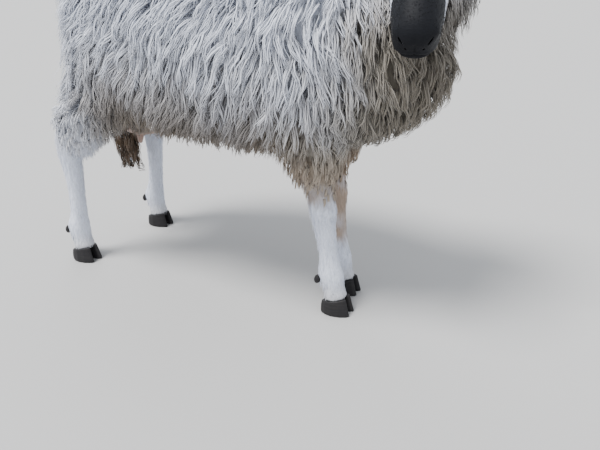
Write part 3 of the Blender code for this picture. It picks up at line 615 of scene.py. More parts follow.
def cut_nostril(head, side):
    """A slanted comma: a round hole below and a slit that curls up and back."""
    turn = HEAD_TURN @ Matrix.Rotation(math.radians(-side * 42), 3, "X")
    slit = ball("nostril_slit", from_head((0.2310, side * 0.0150, 0.0020)), 0.0048,
                (1.7, 0.50, 1.9), turn)
    combine(head, slit, "DIFFERENCE")
    hole = ball("nostril", from_head((0.2365, side * 0.0100, -0.0040)), 0.0034,
                (1.5, 0.95, 1.05), turn)
    combine(head, hole, "DIFFERENCE")


def build_head():
    shapes = [head_form(), lid_mound(1), lid_mound(-1), ear_form(1), ear_form(-1)]
    head = remeshed("head_skin", shapes, HEAD_VOXEL, 3)
    sculpt_head(head)
    for side in (1, -1):
        cut_eye(head, side)
        cut_nostril(head, side)
    return head


def build_skin():
    body_parts = [barrel(), neck(), tail_core()]
    leg_parts = []
    for side in (1, -1):
        body_parts.append(limb("upper_arm", UPPER_ARM, fore_foot(side), side))
        body_parts.append(limb("thigh", THIGH, hind_foot(side), side))
        leg_parts.append(leg(FORELEG, fore_foot(side), side))
        leg_parts.append(leg(HINDLEG, hind_foot(side), side))
    body = remeshed("skin", body_parts, BODY_VOXEL, 6)
    legs = remeshed("leg_skin", leg_parts, LIMB_VOXEL, 2)
    bag = remeshed("udder_skin", udder(), LIMB_VOXEL, 3)
    head = build_head()
    head_surface = surface_of(head)
    for part in (legs, bag, head):
        combine(body, part, "UNION")
    body.data.shade_smooth()
    return body, head_surface


skin, HEAD_SURFACE = build_skin()


# Markings, and painted shade in them. The same colours go on the skin and on the hair that grows from
# it. Each ramp runs from 0 to 1 between two places, in metres, or between two values of a ripple.

WHITE_HAIR = np.array((0.83, 0.875, 0.99))
CREAM_WOOL = np.array((0.60, 0.53, 0.43))
STAINED_WOOL = np.array((0.130, 0.088, 0.056))
BLACK_HAIR = np.array((0.0065, 0.0072, 0.0100))
TAN_HAIR = np.array((0.52, 0.37, 0.25))
KNEE_TAN = (0.200, 0.235)      # heights over which the tan above the knees sets in
FAR_LEG_SHADE_DROP = (0.110, 0.095)    # how much lower it sets in on her left foreleg, the far one: painted shade
HAIR_TO_WOOL = (0.235, 0.275)  # heights over which short hair takes the wool's colours
NAPE_X = (FORE_X + 0.06, FORE_X + 0.10)    # places along her over which the nape sets in
LID_BLACK = (0.0185, 0.0145)   # distances from the eye over which the black round it ends


def ramp(value, start, end):
    t = np.clip((value - start) / (end - start), 0.0, 1.0)
    return t * t * (3 - 2 * t)


def ripple(points, scale, seed):
    """A smooth pseudo-random field between about -1 and 1."""
    waves = np.random.default_rng(seed)
    total = np.zeros(len(points))
    for _ in range(6):
        way = waves.normal(size=3)
        way *= waves.uniform(0.6, 1.6) * math.tau / scale / np.linalg.norm(way)
        total += np.sin(points @ way + waves.uniform(0, math.tau))
    return total / 2.6


def mix(first, second, share):
    return first * (1 - share[:, None]) + second * share[:, None]


def on_head(points):
    """Whether points of the skin are on the head or the ears."""
    near = (points - HEAD_ORIGIN) ** 2
    close = np.flatnonzero(near.sum(axis=1) < 0.30 ** 2)
    found = np.zeros(len(points), bool)
    for index in close:
        found[index] = HEAD_SURFACE.find_nearest(points[index], 0.0012)[0] is not None
    return found


def black_share(points):
    """The black of the face: all of the muzzle, and a blaze up the bridge to the forehead."""
    local = to_head(points)
    x, y, z = local.T
    wobble = 0.006 * ripple(points, 0.030, 3)
    front = ramp(x, -0.02, 0.02)
    muzzle_edge = 0.192 - 0.055 * ramp(z, -0.005, 0.035) - 0.015 * ramp(-z, 0.02, 0.05)
    muzzle = ramp(x + wobble, muzzle_edge - 0.006, muzzle_edge + 0.006)
    half_blaze = 0.017 + 0.013 * ramp(x, 0.06, 0.15)
    blaze = ramp(half_blaze - np.abs(y) + wobble, -0.004, 0.004) * ramp(z, 0.015, 0.03)
    blaze *= ramp(x + wobble, 0.035, 0.055)
    lids = np.zeros(len(points))
    for side in (1, -1):
        place, outward, _ = eye_frame(side)
        centre = np.array(place + outward * EYE_RADIUS)
        away = np.linalg.norm((local - centre) * np.array((0.75, 1, 1.1)), axis=1)
        lids = np.maximum(lids, ramp(-(away + wobble * 0.5), -LID_BLACK[0], -LID_BLACK[1]))
    tips = ramp(np.abs(y) + wobble, 0.150, 0.162) * ramp(-x, -0.10, 0.0)
    return np.maximum.reduce([muzzle, blaze, lids, tips * 0.9]) * np.maximum(front, tips)


TAIL_LINE = np.array([(HIND_X + row[0], row[1], row[2]) for row in TAIL])


def tail_share(places):
    """1 on the hanging tail, 0 elsewhere."""
    local = drawn(places)
    nearest = np.full(len(places), 9.0)
    for start, end in zip(TAIL_LINE[2:-1], TAIL_LINE[3:]):
        way = end - start
        t = np.clip(((local - start) @ way) / (way @ way), 0, 1)[:, None]
        nearest = np.minimum(nearest, np.linalg.norm(local - start - way * t, axis=1))
    behind = local[:, 0] < HIND_X + 0.020
    return ((nearest < 0.036) & (local[:, 2] < 0.540) & behind).astype(float)


def nape_share(x, y, z):
    """1 on the left of the nape, where the turned head opens the wool."""
    return ramp(y, 0.02, 0.06) * ramp(z, 0.50, 0.56) * ramp(x, *NAPE_X)


def wool_colour(points):
    """Off-white above, cream low down and on the chest, with brown stains at belly and tail; painted
    shade darkens the chest, the lower sides and the belly's hem, which is browner too.
    """
    x, y, z = drawn(points).T
    patches = ripple(points, 0.16, 5)
    thigh = ramp(HIND_X + 0.160 - x, 0.0, 0.080) * ramp(np.abs(y), 0.075, 0.105)
    thigh = np.maximum(thigh, ramp(HIND_X + 0.050 - x, 0.0, 0.050))
    low_down = ramp(-(z + 0.030 * patches), -0.41, -0.28) * (1.0 - 0.85 * thigh)
    chest = ramp(x + 0.03 * patches, FORE_X - 0.03, FORE_X + 0.11) * ramp(-z, -0.66, -0.44)
    cream = np.maximum.reduce([low_down * 0.9, chest, nape_share(x, y, z) * 0.5])
    colour = mix(np.tile(WHITE_HAIR, (len(points), 1)), CREAM_WOOL, cream)
    hem = ramp(-(z + 0.015 * patches), -0.42, -0.34) * ramp(-x, -FORE_X + 0.02, -FORE_X + 0.10)
    hem *= 1.0 - thigh
    # Painted shade: the chest, the lower sides and the belly's hem are darker, as less light falls
    # there.
    shade = np.maximum.reduce([chest * 0.56, low_down * 0.12, hem * 0.62])
    colour = colour * (1.0 - shade)[:, None]
    # The hem's painted shade is browner as well.
    colour = mix(colour, TAN_HAIR * 0.45, hem * 0.45)
    arm = ramp(x, 0.0, 0.08) * ramp(-z, -0.315, -0.275)
    colour = mix(colour, TAN_HAIR * 0.75, arm * np.clip(0.65 + 0.3 * patches, 0, 0.9))
    spots = ramp(ripple(points, 0.055, 9), 0.55, 1.1)
    belly = ramp(-z, -0.360, -0.300) * spots * 0.75 * (1.0 - thigh)
    inner_thigh = ramp(-z, -0.40, -0.33) * ramp(-x, 0.20, 0.27) * ramp(-np.abs(y), -0.10, -0.05)
    tail = tail_share(points) * ramp(-(z + 0.02 * patches), -0.46, -0.38)
    return mix(colour, STAINED_WOOL, np.maximum.reduce([belly, inner_thigh * 0.6, tail]))


def hair_colour(points, head):
    """White short hair, tan at the knees, black where the face is; on her left foreleg, the far one,
    the tan is stronger and reaches lower as painted shade.
    """
    x, y, z = drawn(points).T
    colour = np.tile(WHITE_HAIR, (len(points), 1))
    # On her left side the knee tan reaches lower and is half as strong again: painted shade of the
    # far foreleg.
    left = (y > 0) * 1.0
    knee_low, knee_high = (height - drop * left for height, drop in zip(KNEE_TAN, FAR_LEG_SHADE_DROP))
    knee = ramp(z, knee_low, knee_high) * ramp(x, 0.0, 0.08)
    knee *= ramp(-z, -0.44, -0.36)
    patch = 0.60 + 0.30 * ripple(points, 0.05, 12)
    colour = mix(colour, TAN_HAIR * 0.8, np.clip(knee * patch * (1.0 + 0.5 * left), 0, 0.9))
    dirt = ramp(-z, -0.075, -0.030) * 0.45
    colour = mix(colour, CREAM_WOOL * 0.7, dirt)
    colour = mix(colour, wool_colour(points), ramp(z, *HAIR_TO_WOOL) * ~head)
    return mix(colour, BLACK_HAIR, black_share(points) * head)


def add_colours(mesh, colours):
    layer = mesh.color_attributes.new("tint", "FLOAT_COLOR", "POINT")
    data = np.ones((len(colours), 4), np.float32)
    data[:, :3] = colours
    layer.data.foreach_set("color", data.ravel())


# Materials.

def put(made, values):
    """Sets a node's sockets, and its properties, by their names."""
    for name, value in values.items():
        if name in made.inputs:
            made.inputs[name].default_value = value
        else:
            setattr(made, name, value)


def node(tree, kind, **values):
    made = tree.nodes.new(kind)
    put(made, values)
    return made


def link(tree, source, output, target, socket):
    tree.links.new(source.outputs[output], target.inputs[socket])


def new_material(name, values):
    made = bpy.data.materials.new(name)
    made.use_nodes = True
    shader = made.node_tree.nodes["Principled BSDF"]
    put(shader, values)
    return made, made.node_tree, shader


def stretched_noise(tree, source, output, scale, turn=(0, 0, 0), **values):
    """A noise that is drawn out along one way of the coordinates."""
    along = node(tree, "ShaderNodeMapping", Scale=scale, Rotation=turn)
    noise = node(tree, "ShaderNodeTexNoise", Scale=1.0, **values)
    link(tree, source, output, along, "Vector")
    link(tree, along, "Vector", noise, "Vector")
    return noise


def add_bump(tree, shader, noise, strength, distance=0.0008):
    bump = node(tree, "ShaderNodeBump", Strength=strength, Distance=distance)
    link(tree, noise, "Fac", bump, "Height")
    link(tree, bump, "Normal", shader, "Normal")


def add_markings(tree, shader, noise, dark, light):
    """The mesh's own colours, shaded between dark and light by the noise."""
    tint = node(tree, "ShaderNodeAttribute", attribute_name="tint")
    shade = node(tree, "ShaderNodeMapRange")
    put(shade, {"From Min": 0.3, "From Max": 0.7, "To Min": dark, "To Max": light})
    colour = node(tree, "ShaderNodeMix", data_type="RGBA", blend_type="MULTIPLY", Factor=1.0)
    link(tree, noise, "Fac", shade, "Value")
    link(tree, tint, "Color", colour, "A")
    link(tree, shade, "Result", colour, "B")
    link(tree, colour, "Result", shader, "Base Color")


def add_two_tones(tree, shader, noise, dark, light):
    tones = node(tree, "ShaderNodeValToRGB")
    for element, tone in zip(tones.color_ramp.elements, (dark, light)):
        element.color = (*tone, 1)
    link(tree, noise, "Fac", tones, "Fac")
    link(tree, tones, "Color", shader, "Base Color")


def wool_material(name, sheen=0.25):
    """Strands, with fibres along them in shade and bump."""
    made, tree, shader = new_material(name, {
        "Roughness": 0.85, "Sheen Weight": sheen, "Sheen Roughness": 0.4,
        "Specular IOR Level": 0.25})
    spot = node(tree, "ShaderNodeUVMap", uv_map="OFBake")
    fibres = stretched_noise(tree, spot, "UV", (9000.0, 900.0, 1.0), Detail=2.0, Roughness=0.5)
    add_markings(tree, shader, fibres, 0.74, 1.12)
    add_bump(tree, shader, fibres, 0.9)
    return made


def hide_material(name, stretch, turn=(0, 0, 0)):
    """The skin under the hair, with fine streaks along the lie of the hair."""
    made, tree, shader = new_material(name, {
        "Roughness": 0.55, "Sheen Weight": 0.02, "Specular IOR Level": 0.12})
    place = node(tree, "ShaderNodeTexCoord")
    streaks = stretched_noise(tree, place, "Object", stretch, turn, Detail=4.0, Roughness=0.6)
    add_markings(tree, shader, streaks, 0.72, 1.08)
    add_bump(tree, shader, streaks, 0.55)
    return made


def horn_material():
    made, tree, shader = new_material("hoof_horn", {"Roughness": 0.5, "Specular IOR Level": 0.2})
    place = node(tree, "ShaderNodeTexCoord")
    growth = stretched_noise(tree, place, "Object", (20, 20, 420), Detail=3.0)
    add_two_tones(tree, shader, growth, (0.006, 0.006, 0.008), (0.030, 0.028, 0.028))
    add_bump(tree, shader, growth, 0.5, 0.0006)
    return made


def eye_material():
    made, tree, shader = new_material("eye", {
        "Roughness": 0.30, "Specular IOR Level": 0.0, "Coat Weight": 0.55,
        "Coat Roughness": 0.02})
    tint = node(tree, "ShaderNodeAttribute", attribute_name="tint")
    link(tree, tint, "Color", shader, "Base Color")
    return made


def bare_skin_material():
    made, tree, shader = new_material("bare_skin", {
        "Roughness": 0.55, "Subsurface Weight": 0.15,
        "Subsurface Radius": (0.008, 0.003, 0.002)})
    place = node(tree, "ShaderNodeTexCoord")
    pores = node(tree, "ShaderNodeTexNoise", Scale=240.0, Detail=4.0)
    link(tree, place, "Object", pores, "Vector")
    add_two_tones(tree, shader, pores, (0.26, 0.17, 0.14), (0.42, 0.30, 0.25))
    add_bump(tree, shader, pores, 0.4)
    return made


WOOL = wool_material("wool")
BODY_HIDE = hide_material("body_hide", (900, 900, 120))
FACE_HIDE = hide_material("face_hide", (110, 900, 900), tuple(HEAD_TURN.transposed().to_euler()))
HORN = horn_material()
BARE_SKIN = bare_skin_material()
STAINED = wool_material("stained_wool")
HAIR = wool_material("short_hair", 0.02)
EYE = eye_material()


# The skin's looks.

SKIN_SHADE_UNDER_HAIR = 0.88          # painted shade: lightness of the skin against the hair over it, or against the lit wool high up
SKIN_SHADE_UNDER_WOOL = 0.66          # painted shade: and against the wool low down, which less light reaches
UDDER_TOP = 0.345
UDDER_REACH = 0.078        # bare skin's distance from the udder's middle

skin_points = rows_of(skin)
skin_local = to_head(skin_points)
skin_height = skin_points[:, 2]
head_part = on_head(skin_points)
udder_middle = np.array((UDDER_X, 0, 0.300)) + np.array(SHIFT)
udder_away = np.linalg.norm(skin_points - udder_middle, axis=1)
udder_part = (udder_away < UDDER_REACH) & (skin_height < UDDER_TOP)


def skin_tints():
    """The colours of the hair and the wool, darker as light doesn't reach it well."""
    wool = wool_colour(skin_points)
    covered = ramp(skin_height, 0.26, 0.30) * ~head_part * ~udder_part
    tints = mix(hair_colour(skin_points, head_part) * SKIN_SHADE_UNDER_HAIR, wool * SKIN_SHADE_UNDER_WOOL, covered)
    # Painted light: the skin under the wool high up is lighter, where the wool over it is lit.
    return mix(tints, wool * SKIN_SHADE_UNDER_HAIR, ramp(skin_height, 0.44, 0.54) * covered)


add_colours(skin.data, skin_tints())
skin.data.materials.clear()
for look in (BODY_HIDE, FACE_HIDE, BARE_SKIN):
    skin.data.materials.append(look)
for polygon in skin.data.polygons:
    corner = polygon.vertices[0]
    if head_part[corner]:
        polygon.material_index = 1
    elif udder_part[corner]:
        polygon.material_index = 2
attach(skin, "root")
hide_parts("torso", "neck", "thigh_left", "thigh_right", "tail", "udder", "head",
            "ear_left", "ear_right", "foreleg_left", "foreleg_right", "hindleg_left",
            "hindleg_right")


def add_horn(name, solid):
    """A hoof or dewclaw with its corners rounded off, in place of the solid one."""
    shape = make_object(name + "_horn", solid.data.copy())
    shape.matrix_world = solid.matrix_world
    softened(shape, HOOF_VOXEL if name.startswith("hoof") else DEWCLAW_VOXEL, 5)
    shape.data.materials.clear()
    shape.data.materials.append(HORN)
    shape.data.shade_smooth()
    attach(shape, "root")
    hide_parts(name)


for name, solid in list(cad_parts.items()):
    if name.startswith(("hoof_", "dewclaw_")):
        add_horn(name, solid)


# The coat. Wool grows in wavy locks of a few strands each, which close to a point at the tip.
# Short hair grows in small tufts that lie flat.

PATCH = 0.003              # size of a tuft's patch on the unwrap of the skin
MOST_TRIANGLES = 190000    # in one piece of the coat
CANDIDATES = 6             # random places for each tuft, of which one is kept
PARTING = 0.07             # half the strip that runs back along the spine
COAT_EDGE = 0.231          # height of the lower edge of the wool on the limbs
REAR_RISE = 0.095          # how much higher it ends at the back of the hind legs
ROOT_DEPTH = 0.001         # how far a strand starts below the skin
SLACK = 1.15               # how far over its resting height a strand may stand
HANG = 0.022               # how far the belly's wool may hang clear of the skin
CUT_FROM = 0.055           # head's x from which the cuts leave the skin's faces in any order
MEND = 1e-9


def in_order(faces, chosen):
    """Sorts the chosen faces by their corners, so that each run draws the same hair."""
    rows = faces[chosen]
    start = rows.argmin(axis=1)
    numbers = np.arange(len(rows))
    rows = np.stack([rows[numbers, (start + step) % 3] for step in range(3)], axis=1)
    faces[chosen] = rows[np.lexsort(rows.T[::-1])]


skin_normals = rows_of(skin, "normal")
skin.data.calc_loop_triangles()
skin_faces = np.empty(len(skin.data.loop_triangles) * 3, np.int32)
skin.data.loop_triangles.foreach_get("vertices", skin_faces)
skin_faces = skin_faces.reshape(-1, 3)
cut_part = head_part & (skin_local[:, 0] > CUT_FROM)
in_order(skin_faces, cut_part[skin_faces].all(axis=1))
body_faces = skin_faces[~head_part[skin_faces].any(axis=1)]
skin_surface, body_surface = (BVHTree.FromPolygons(skin_points.tolist(), faces.tolist())
                              for faces in (skin_faces, body_faces))
face_corners = skin_points[skin_faces]
face_areas = np.linalg.norm(np.cross(face_corners[:, 1] - face_corners[:, 0],
                                     face_corners[:, 2] - face_corners[:, 0]), axis=1) / 2


# Kinds of hair: the spacing of their tufts and a tuft's radius; the number, width and rings of its
# strands; the length and height of their waves; how far their tips stray; the depth at which a
# tuft has its whole spread; the height of a strand's ridge against its width.
Wool = namedtuple("Wool", "spacing radius strands width rings wave_length wave_height stray"
                          " full_depth ridge", defaults=(0.0001, 0.3))
FLEECE = Wool(0.0138, 0.0068, 6, 0.0022, 6, 0.055, 0.0033, 0.0028, 0.018, 0.6)
TAIL_WOOL = Wool(0.0112, 0.0068, 6, 0.0025, 6, 0.055, 0.0026, 0.0026, 0.0001, 0.6)
FACE_HAIR = Wool(0.0043, 0.0020, 3, 0.0008, 2, 0.020, 0.0, 0.0003)
EAR_HAIR = Wool(0.0050, 0.0022, 3, 0.0008, 2, 0.020, 0.0, 0.0005)
LEG_HAIR = Wool(0.0068, 0.0033, 4, 0.0009, 2, 0.020, 0.0, 0.0004)


def unit(ways):
    return ways / np.maximum(np.linalg.norm(ways, axis=-1, keepdims=True), MEND)


def scatter(share, spacing):
    """Random points of the skin with their normals, about a spacing apart, where share is 1."""
    weights = face_areas * share[skin_faces].mean(axis=1)
    count = int(weights.sum() / spacing ** 2 * CANDIDATES)
    chosen = draw.choice(len(weights), count, p=weights / weights.sum())
    first = draw.random((count, 1))
    second = draw.random((count, 1))
    over = (first + second) > 1
    first = np.where(over, 1 - first, first)
    second = np.where(over, 1 - second, second)
    corners = face_corners[chosen]
    normals = skin_normals[skin_faces[chosen]]
    places = corners[:, 0] + (corners[:, 1] - corners[:, 0]) * first
    places += (corners[:, 2] - corners[:, 0]) * second
    ways = normals[:, 0] + (normals[:, 1] - normals[:, 0]) * first
    ways += (normals[:, 2] - normals[:, 0]) * second
    cells = np.floor(places / spacing).astype(np.int64)
    _, kept = np.unique(cells, axis=0, return_index=True)
    kept = kept[draw.permutation(len(kept))]
    return places[kept], unit(ways[kept])


def turned(ways, axes, angles):
    """Each way turned round its axis by an angle."""
    return ways * np.cos(angles)[:, None] + np.cross(axes, ways) * np.sin(angles)[:, None]


def body_lie(places, normals):
    """The way the wool runs: back along the spine, down the sides, forward on the chest."""
    x, y, z = drawn(places).T
    ahead = x - FORE_X
    back = np.where(ahead > -0.10, np.minimum(-0.42 + 4.6 * (ahead + 0.10), 0.85), -0.42)
    back = back * np.where(ahead < -0.2, ramp(ahead, -0.60, -0.42), 1.0)
    back = back * ramp(z, 0.30, 0.42) * (1.0 - 0.9 * np.maximum(normals[:, 0], 0))
    side = np.clip(y / PARTING, -1, 1)
    aside = side * (np.maximum(normals[:, 2], 0) * 0.9 + np.maximum(-normals[:, 2], 0) * 0.10)
    top = np.maximum(normals[:, 2] - 0.6, 0) * (1 - np.abs(side) * 0.6)
    lie = unit(np.stack([back - top * 5.0, aside, -np.ones(len(x))], axis=1))
    swirl = 0.40 * ripple(places, 0.13, 21) + 0.22 * ripple(places, 0.045, 22)
    swirl += draw.normal(0, 0.16, len(x))
    return turned(lie, normals, swirl * (0.3 + 0.7 * ramp(z, 0.24, 0.36)))


def coat_edge(places):
    """Height at which wool gives way to short hair: higher at the back of the hind legs."""
    behind = ramp(HIND_X + 0.045 - (places[:, 0] - SHIFT[0]), 0.0, 0.050)
    return COAT_EDGE + REAR_RISE * behind * ramp(np.abs(places[:, 1]), 0.03, 0.07)


def wool_left(heights):
    """Share of the wool's depth that is left at each height."""
    return LEAST_WOOL + (1.0 - LEAST_WOOL) * ramp(heights, WOOL_ENDS, WOOL_FULL)


def paths_over_skin(roots, normals, lies, lengths, depths, rings, rise, surface):
    """Middle lines that leave the skin, bend to the lie and rest at a height over it."""
    count = len(roots)
    line = np.empty((count, rings + 1, 3))
    outward = np.empty((count, rings + 1, 3))
    line[:, 0] = roots - normals * ROOT_DEPTH
    outward[:, 0] = normals
    place = line[:, 0].copy()
    up = normals.copy()
    heading = unit(normals * rise + lies * (1.15 - rise))
    x = roots[:, 0] - SHIFT[0]
    end = np.maximum(ramp(x, FORE_X - 0.07, FORE_X + 0.01), ramp(-x, -HIND_X - 0.08, -HIND_X))
    free = HANG * ramp(-normals[:, 2], -0.15, 0.45) * (1.0 - 0.85 * end)
    for ring in range(1, rings + 1):
        t = ring / rings
        heading = unit(heading + lies * (0.35 + 0.5 * t) + np.array((0, 0, -0.22 * t)))
        sinking = np.minimum((heading * up).sum(1), 0)[:, None]
        heading = unit(heading - up * sinking * 0.8)
        place = place + heading * (lengths / rings)[:, None]
        shrunk = wool_left(place[:, 2]) / wool_left(roots[:, 2])
        stand = depths * min(1.0, t * 1.5 + 0.1) ** 0.7
        stand = stand * (1.0 - end * (1.0 - np.clip(shrunk, 0.3, 1.0)))
        for index in range(count):
            nearest, normal, _, _ = surface.find_nearest(place[index])
            normal = np.array(normal)
            height = (place[index] - np.array(nearest)) @ normal
            if height < stand[index]:
                place[index] += normal * (stand[index] - height)
            elif height > stand[index] * SLACK + free[index]:
                place[index] -= normal * (height - stand[index] * SLACK - free[index])
            up[index] = normal
        line[:, ring] = place
        outward[:, ring] = up
    return line, outward


def frames_along(line, outward):
    """The way across and the way up at each point of each line."""
    along = unit(np.gradient(line, axis=1))
    across = unit(np.cross(along, outward))
    return across, np.cross(across, along)


class Tufts:
    """Strands of one kind of hair, as arrays with one row a strand."""

    def __init__(self, kind, roots, normals, lies, lengths, depths, root_tint, tip_tint, rise=0.85,
                 surface=None):
        self.kind = kind
        line, outward = paths_over_skin(roots, normals, lies, lengths, depths, kind.rings, rise,
                                        surface or skin_surface)
        self.spread = np.clip(depths / kind.full_depth, 0.3, 1.0)[:, None]
        across, up = frames_along(line, outward)
        self.roots = np.repeat(roots, kind.strands, axis=0)
        self.line = self.strands_of(line, across, up, lengths)
        self.across = np.repeat(across, kind.strands, axis=0)
        self.up = np.repeat(up, kind.strands, axis=0)
        count = len(self.line)
        self.width = draw.uniform(0.6, 1.3, (count, 1)) * kind.width
        tone = draw.uniform(0.90, 1.06, (count, 1))
        self.root_tint = np.repeat(root_tint, kind.strands, axis=0) * tone
        self.tip_tint = np.repeat(tip_tint, kind.strands, axis=0) * tone
        self.spot = np.repeat(unwrap(roots), kind.strands, axis=0)
        self.order = np.tile(np.arange(kind.strands), len(roots))

    def strands_of(self, line, across, up, lengths):
        """The strands of each tuft round its middle line, waving together."""
        kind = self.kind
        count = len(line)
        t = np.linspace(0, 1, kind.rings + 1)[None]
        phase = draw.uniform(0, math.tau, (count, 1))
        waves = draw.uniform(0.8, 1.25, (count, 1)) * lengths[:, None] / kind.wave_length * math.tau
        curl = draw.uniform(0.6, 1.3, (count, 1)) * kind.wave_height * (0.35 + 0.65 * t)
        curl = curl * self.spread
        close = (1.0 - 0.68 * t ** 1.2) * self.spread
        strands = np.empty((count, kind.strands, kind.rings + 1, 3))
        for strand in range(kind.strands):
            angle = draw.uniform(0, math.tau, (count, 1))
            reach = np.sqrt(draw.uniform(0.1, 1.0, (count, 1))) * kind.radius * close
            turn = phase + draw.uniform(-0.8, 0.8, (count, 1)) + waves * t
            stray = draw.normal(0, kind.stray, (count, 2, 1)) * t[None] ** 2
            stray = stray * self.spread[:, None]
            sideways = np.cos(angle) * reach + curl * np.sin(turn) + stray[:, 0]
            above = np.sin(angle) * reach * 0.5 + curl * 0.7 * np.cos(turn) + stray[:, 1]
            moved = line + across * sideways[:, :, None] + up * above[:, :, None]
            short = draw.uniform(0.78, 1.0, (count, 1, 1))
            strands[:, strand] = moved[:, :1] + (moved - moved[:, :1]) * short
        return strands.reshape(count * kind.strands, kind.rings + 1, 3)

    def triangles(self):
        return 6 * (self.kind.rings - 1) + 4

    def add_piece(self, name, rows, look):
        """One mesh of closed three-sided strands, each tuft with its patch on the unwrap."""
        rings = self.kind.rings
        line = self.line[rows]
        count = len(line)
        t = np.linspace(0, 1, rings + 1)
        taper = np.interp(t, (0.0, 0.2, 0.55, 0.8, 0.95, 1.0), (0.6, 1.0, 0.95, 0.62, 0.25, 0.0))
        half = (self.width[rows] * taper[None] / 2)[:, :rings, None]
        across = self.across[rows][:, :rings] * half
        up = self.up[rows][:, :rings] * half * self.kind.ridge
        body = line[:, :rings]
        ring_points = np.stack([body - across, body + across, body + up], axis=2)
        points = np.concatenate([ring_points.reshape(count, rings * 3, 3), line[:, rings:]], axis=1)
        per = rings * 3 + 1
        quads = []
        for first in range(0, (rings - 1) * 3, 3):
            for side in range(3):
                a = first + side
                b = first + (side + 1) % 3
                quads.append((a, b, b + 3, a + 3))
        last = (rings - 1) * 3
        caps = [(2, 1, 0)] + [(last + side, last + (side + 1) % 3, per - 1) for side in range(3)]
        starts = (np.arange(count) * per)[:, None, None]
        quads = (np.array(quads)[None] + starts).ravel()
        caps = (np.array(caps)[None] + starts).ravel()
        corners = np.concatenate([quads, caps]).astype(np.int32)
        sizes = np.concatenate([np.full(len(quads) // 4, 4), np.full(len(caps) // 3, 3)])

        along = np.append(np.repeat(t[:rings], 3), 1.0)
        sideways = np.append(np.tile((0.0, 1.0, 0.5), rings), 0.5)
        share = (self.order[rows][:, None] + sideways[None]) / self.kind.strands
        patch = np.stack([share, np.broadcast_to(along, (count, per))], axis=2)
        spots = self.spot[rows][:, None] + (patch - 0.5) * PATCH
        fade = along[None, :, None]
        tints = self.root_tint[rows][:, None] * (1 - fade) + self.tip_tint[rows][:, None] * fade

        mesh = bpy.data.meshes.new(name)
        mesh.vertices.add(count * per)
        mesh.vertices.foreach_set("co", points.astype(np.float32).ravel())
        mesh.loops.add(len(corners))
        mesh.loops.foreach_set("vertex_index", corners)
        mesh.polygons.add(len(sizes))
        loop_starts = np.append(0, np.cumsum(sizes)[:-1]).astype(np.int32)
        mesh.polygons.foreach_set("loop_start", loop_starts)
        mesh.update(calc_edges=True)
        if rings > 2:
            mesh.shade_smooth()
        else:
            mesh.shade_flat()
        unwrapped = mesh.uv_layers.new(name="OFBake")
        unwrapped.data.foreach_set("uv", spots.reshape(-1, 2)[corners].astype(np.float32).ravel())
        add_colours(mesh, tints.reshape(-1, 3))
        mesh.materials.append(look)
        made = make_object(name, mesh)
        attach(made, "root")

    def add(self, name, look, slot):
        """All the strands, in as many pieces as their number asks for, from rear to front."""
        rows = np.argsort(self.roots[:, 0], kind="stable")
        pieces = math.ceil(len(rows) * self.triangles() / MOST_TRIANGLES)
        for number, part in enumerate(np.array_split(rows, pieces)):
            label = name if pieces == 1 else f"{name}_{number + 1}"
            self.add_piece(label, part, look)


# The unwrap of the skin: each form is unrolled round its own axis onto its own rectangle, whose
# lowest and highest corners are given here.
ATLAS = {
    "barrel": ((0.01, 0.01), (0.69, 0.66)),
    "neck": ((0.70, 0.01), (0.99, 0.66)),
    "head": ((0.01, 0.68), (0.40, 0.99)),
    "tail": ((0.41, 0.68), (0.51, 0.99)),
    "fore_left": ((0.52, 0.68), (0.63, 0.99)),
    "fore_right": ((0.64, 0.68), (0.75, 0.99)),
    "hind_left": ((0.76, 0.68), (0.87, 0.99)),
    "hind_right": ((0.88, 0.68), (0.99, 0.99)),
}
LIMB_TOP = 0.33            # height below which the skin is a leg's


def unwrap(places):
    """Where each place of the skin lies on the unwrap."""
    x, y, z = drawn(places).T
    local = to_head(places)
    forms = np.full(len(places), "barrel", dtype=object)
    forms[(x - FORE_X - 0.020) * 0.74 + (z - 0.540) * 0.67 > 0] = "neck"
    rolled = {
        "barrel": ((x - HIND_X + 0.20) / 0.80, np.arctan2(y, z - 0.47)),
        "neck": ((z - 0.42) / 0.28, np.arctan2(y - 0.03, x - FORE_X - 0.06)),
        "head": ((local[:, 0] + 0.05) / 0.31, np.arctan2(local[:, 1], local[:, 2] + 0.01)),
        "tail": ((0.60 - z) / 0.45, np.arctan2(y - 0.02, x - HIND_X)),
    }
    for name, middle, step in (("fore", FORE_X, FORE_STEP), ("hind", HIND_X, HIND_STEP)):
        below = (z < LIMB_TOP) & (np.abs(x - middle) < 0.5 * (FORE_X - HIND_X))
        for label, side in (("_left", 1), ("_right", -1)):
            forms[below & ((y > 0) == (side > 0))] = name + label
            rolled[name + label] = (z / LIMB_TOP, np.arctan2(y - side * step, x - middle))
    forms[tail_share(places) > 0.5] = "tail"
    forms[on_head(places)] = "head"
    spots = np.empty((len(places), 2))
    for form, (along, angle) in rolled.items():
        chosen = forms == form
        (u_low, v_low), (u_high, v_high) = ATLAS[form]
        turn = (angle[chosen] + math.pi) / math.tau
        spots[chosen, 0] = u_low + (u_high - u_low) * np.clip(along[chosen], 0, 1)
        spots[chosen, 1] = v_low + (v_high - v_low) * turn
    return spots


FACE_MIDDLE = np.array((0.03, 0.0, 0.0))
FACE_REACH = (0.150, 0.085)            # distances from it over which wool nears the face
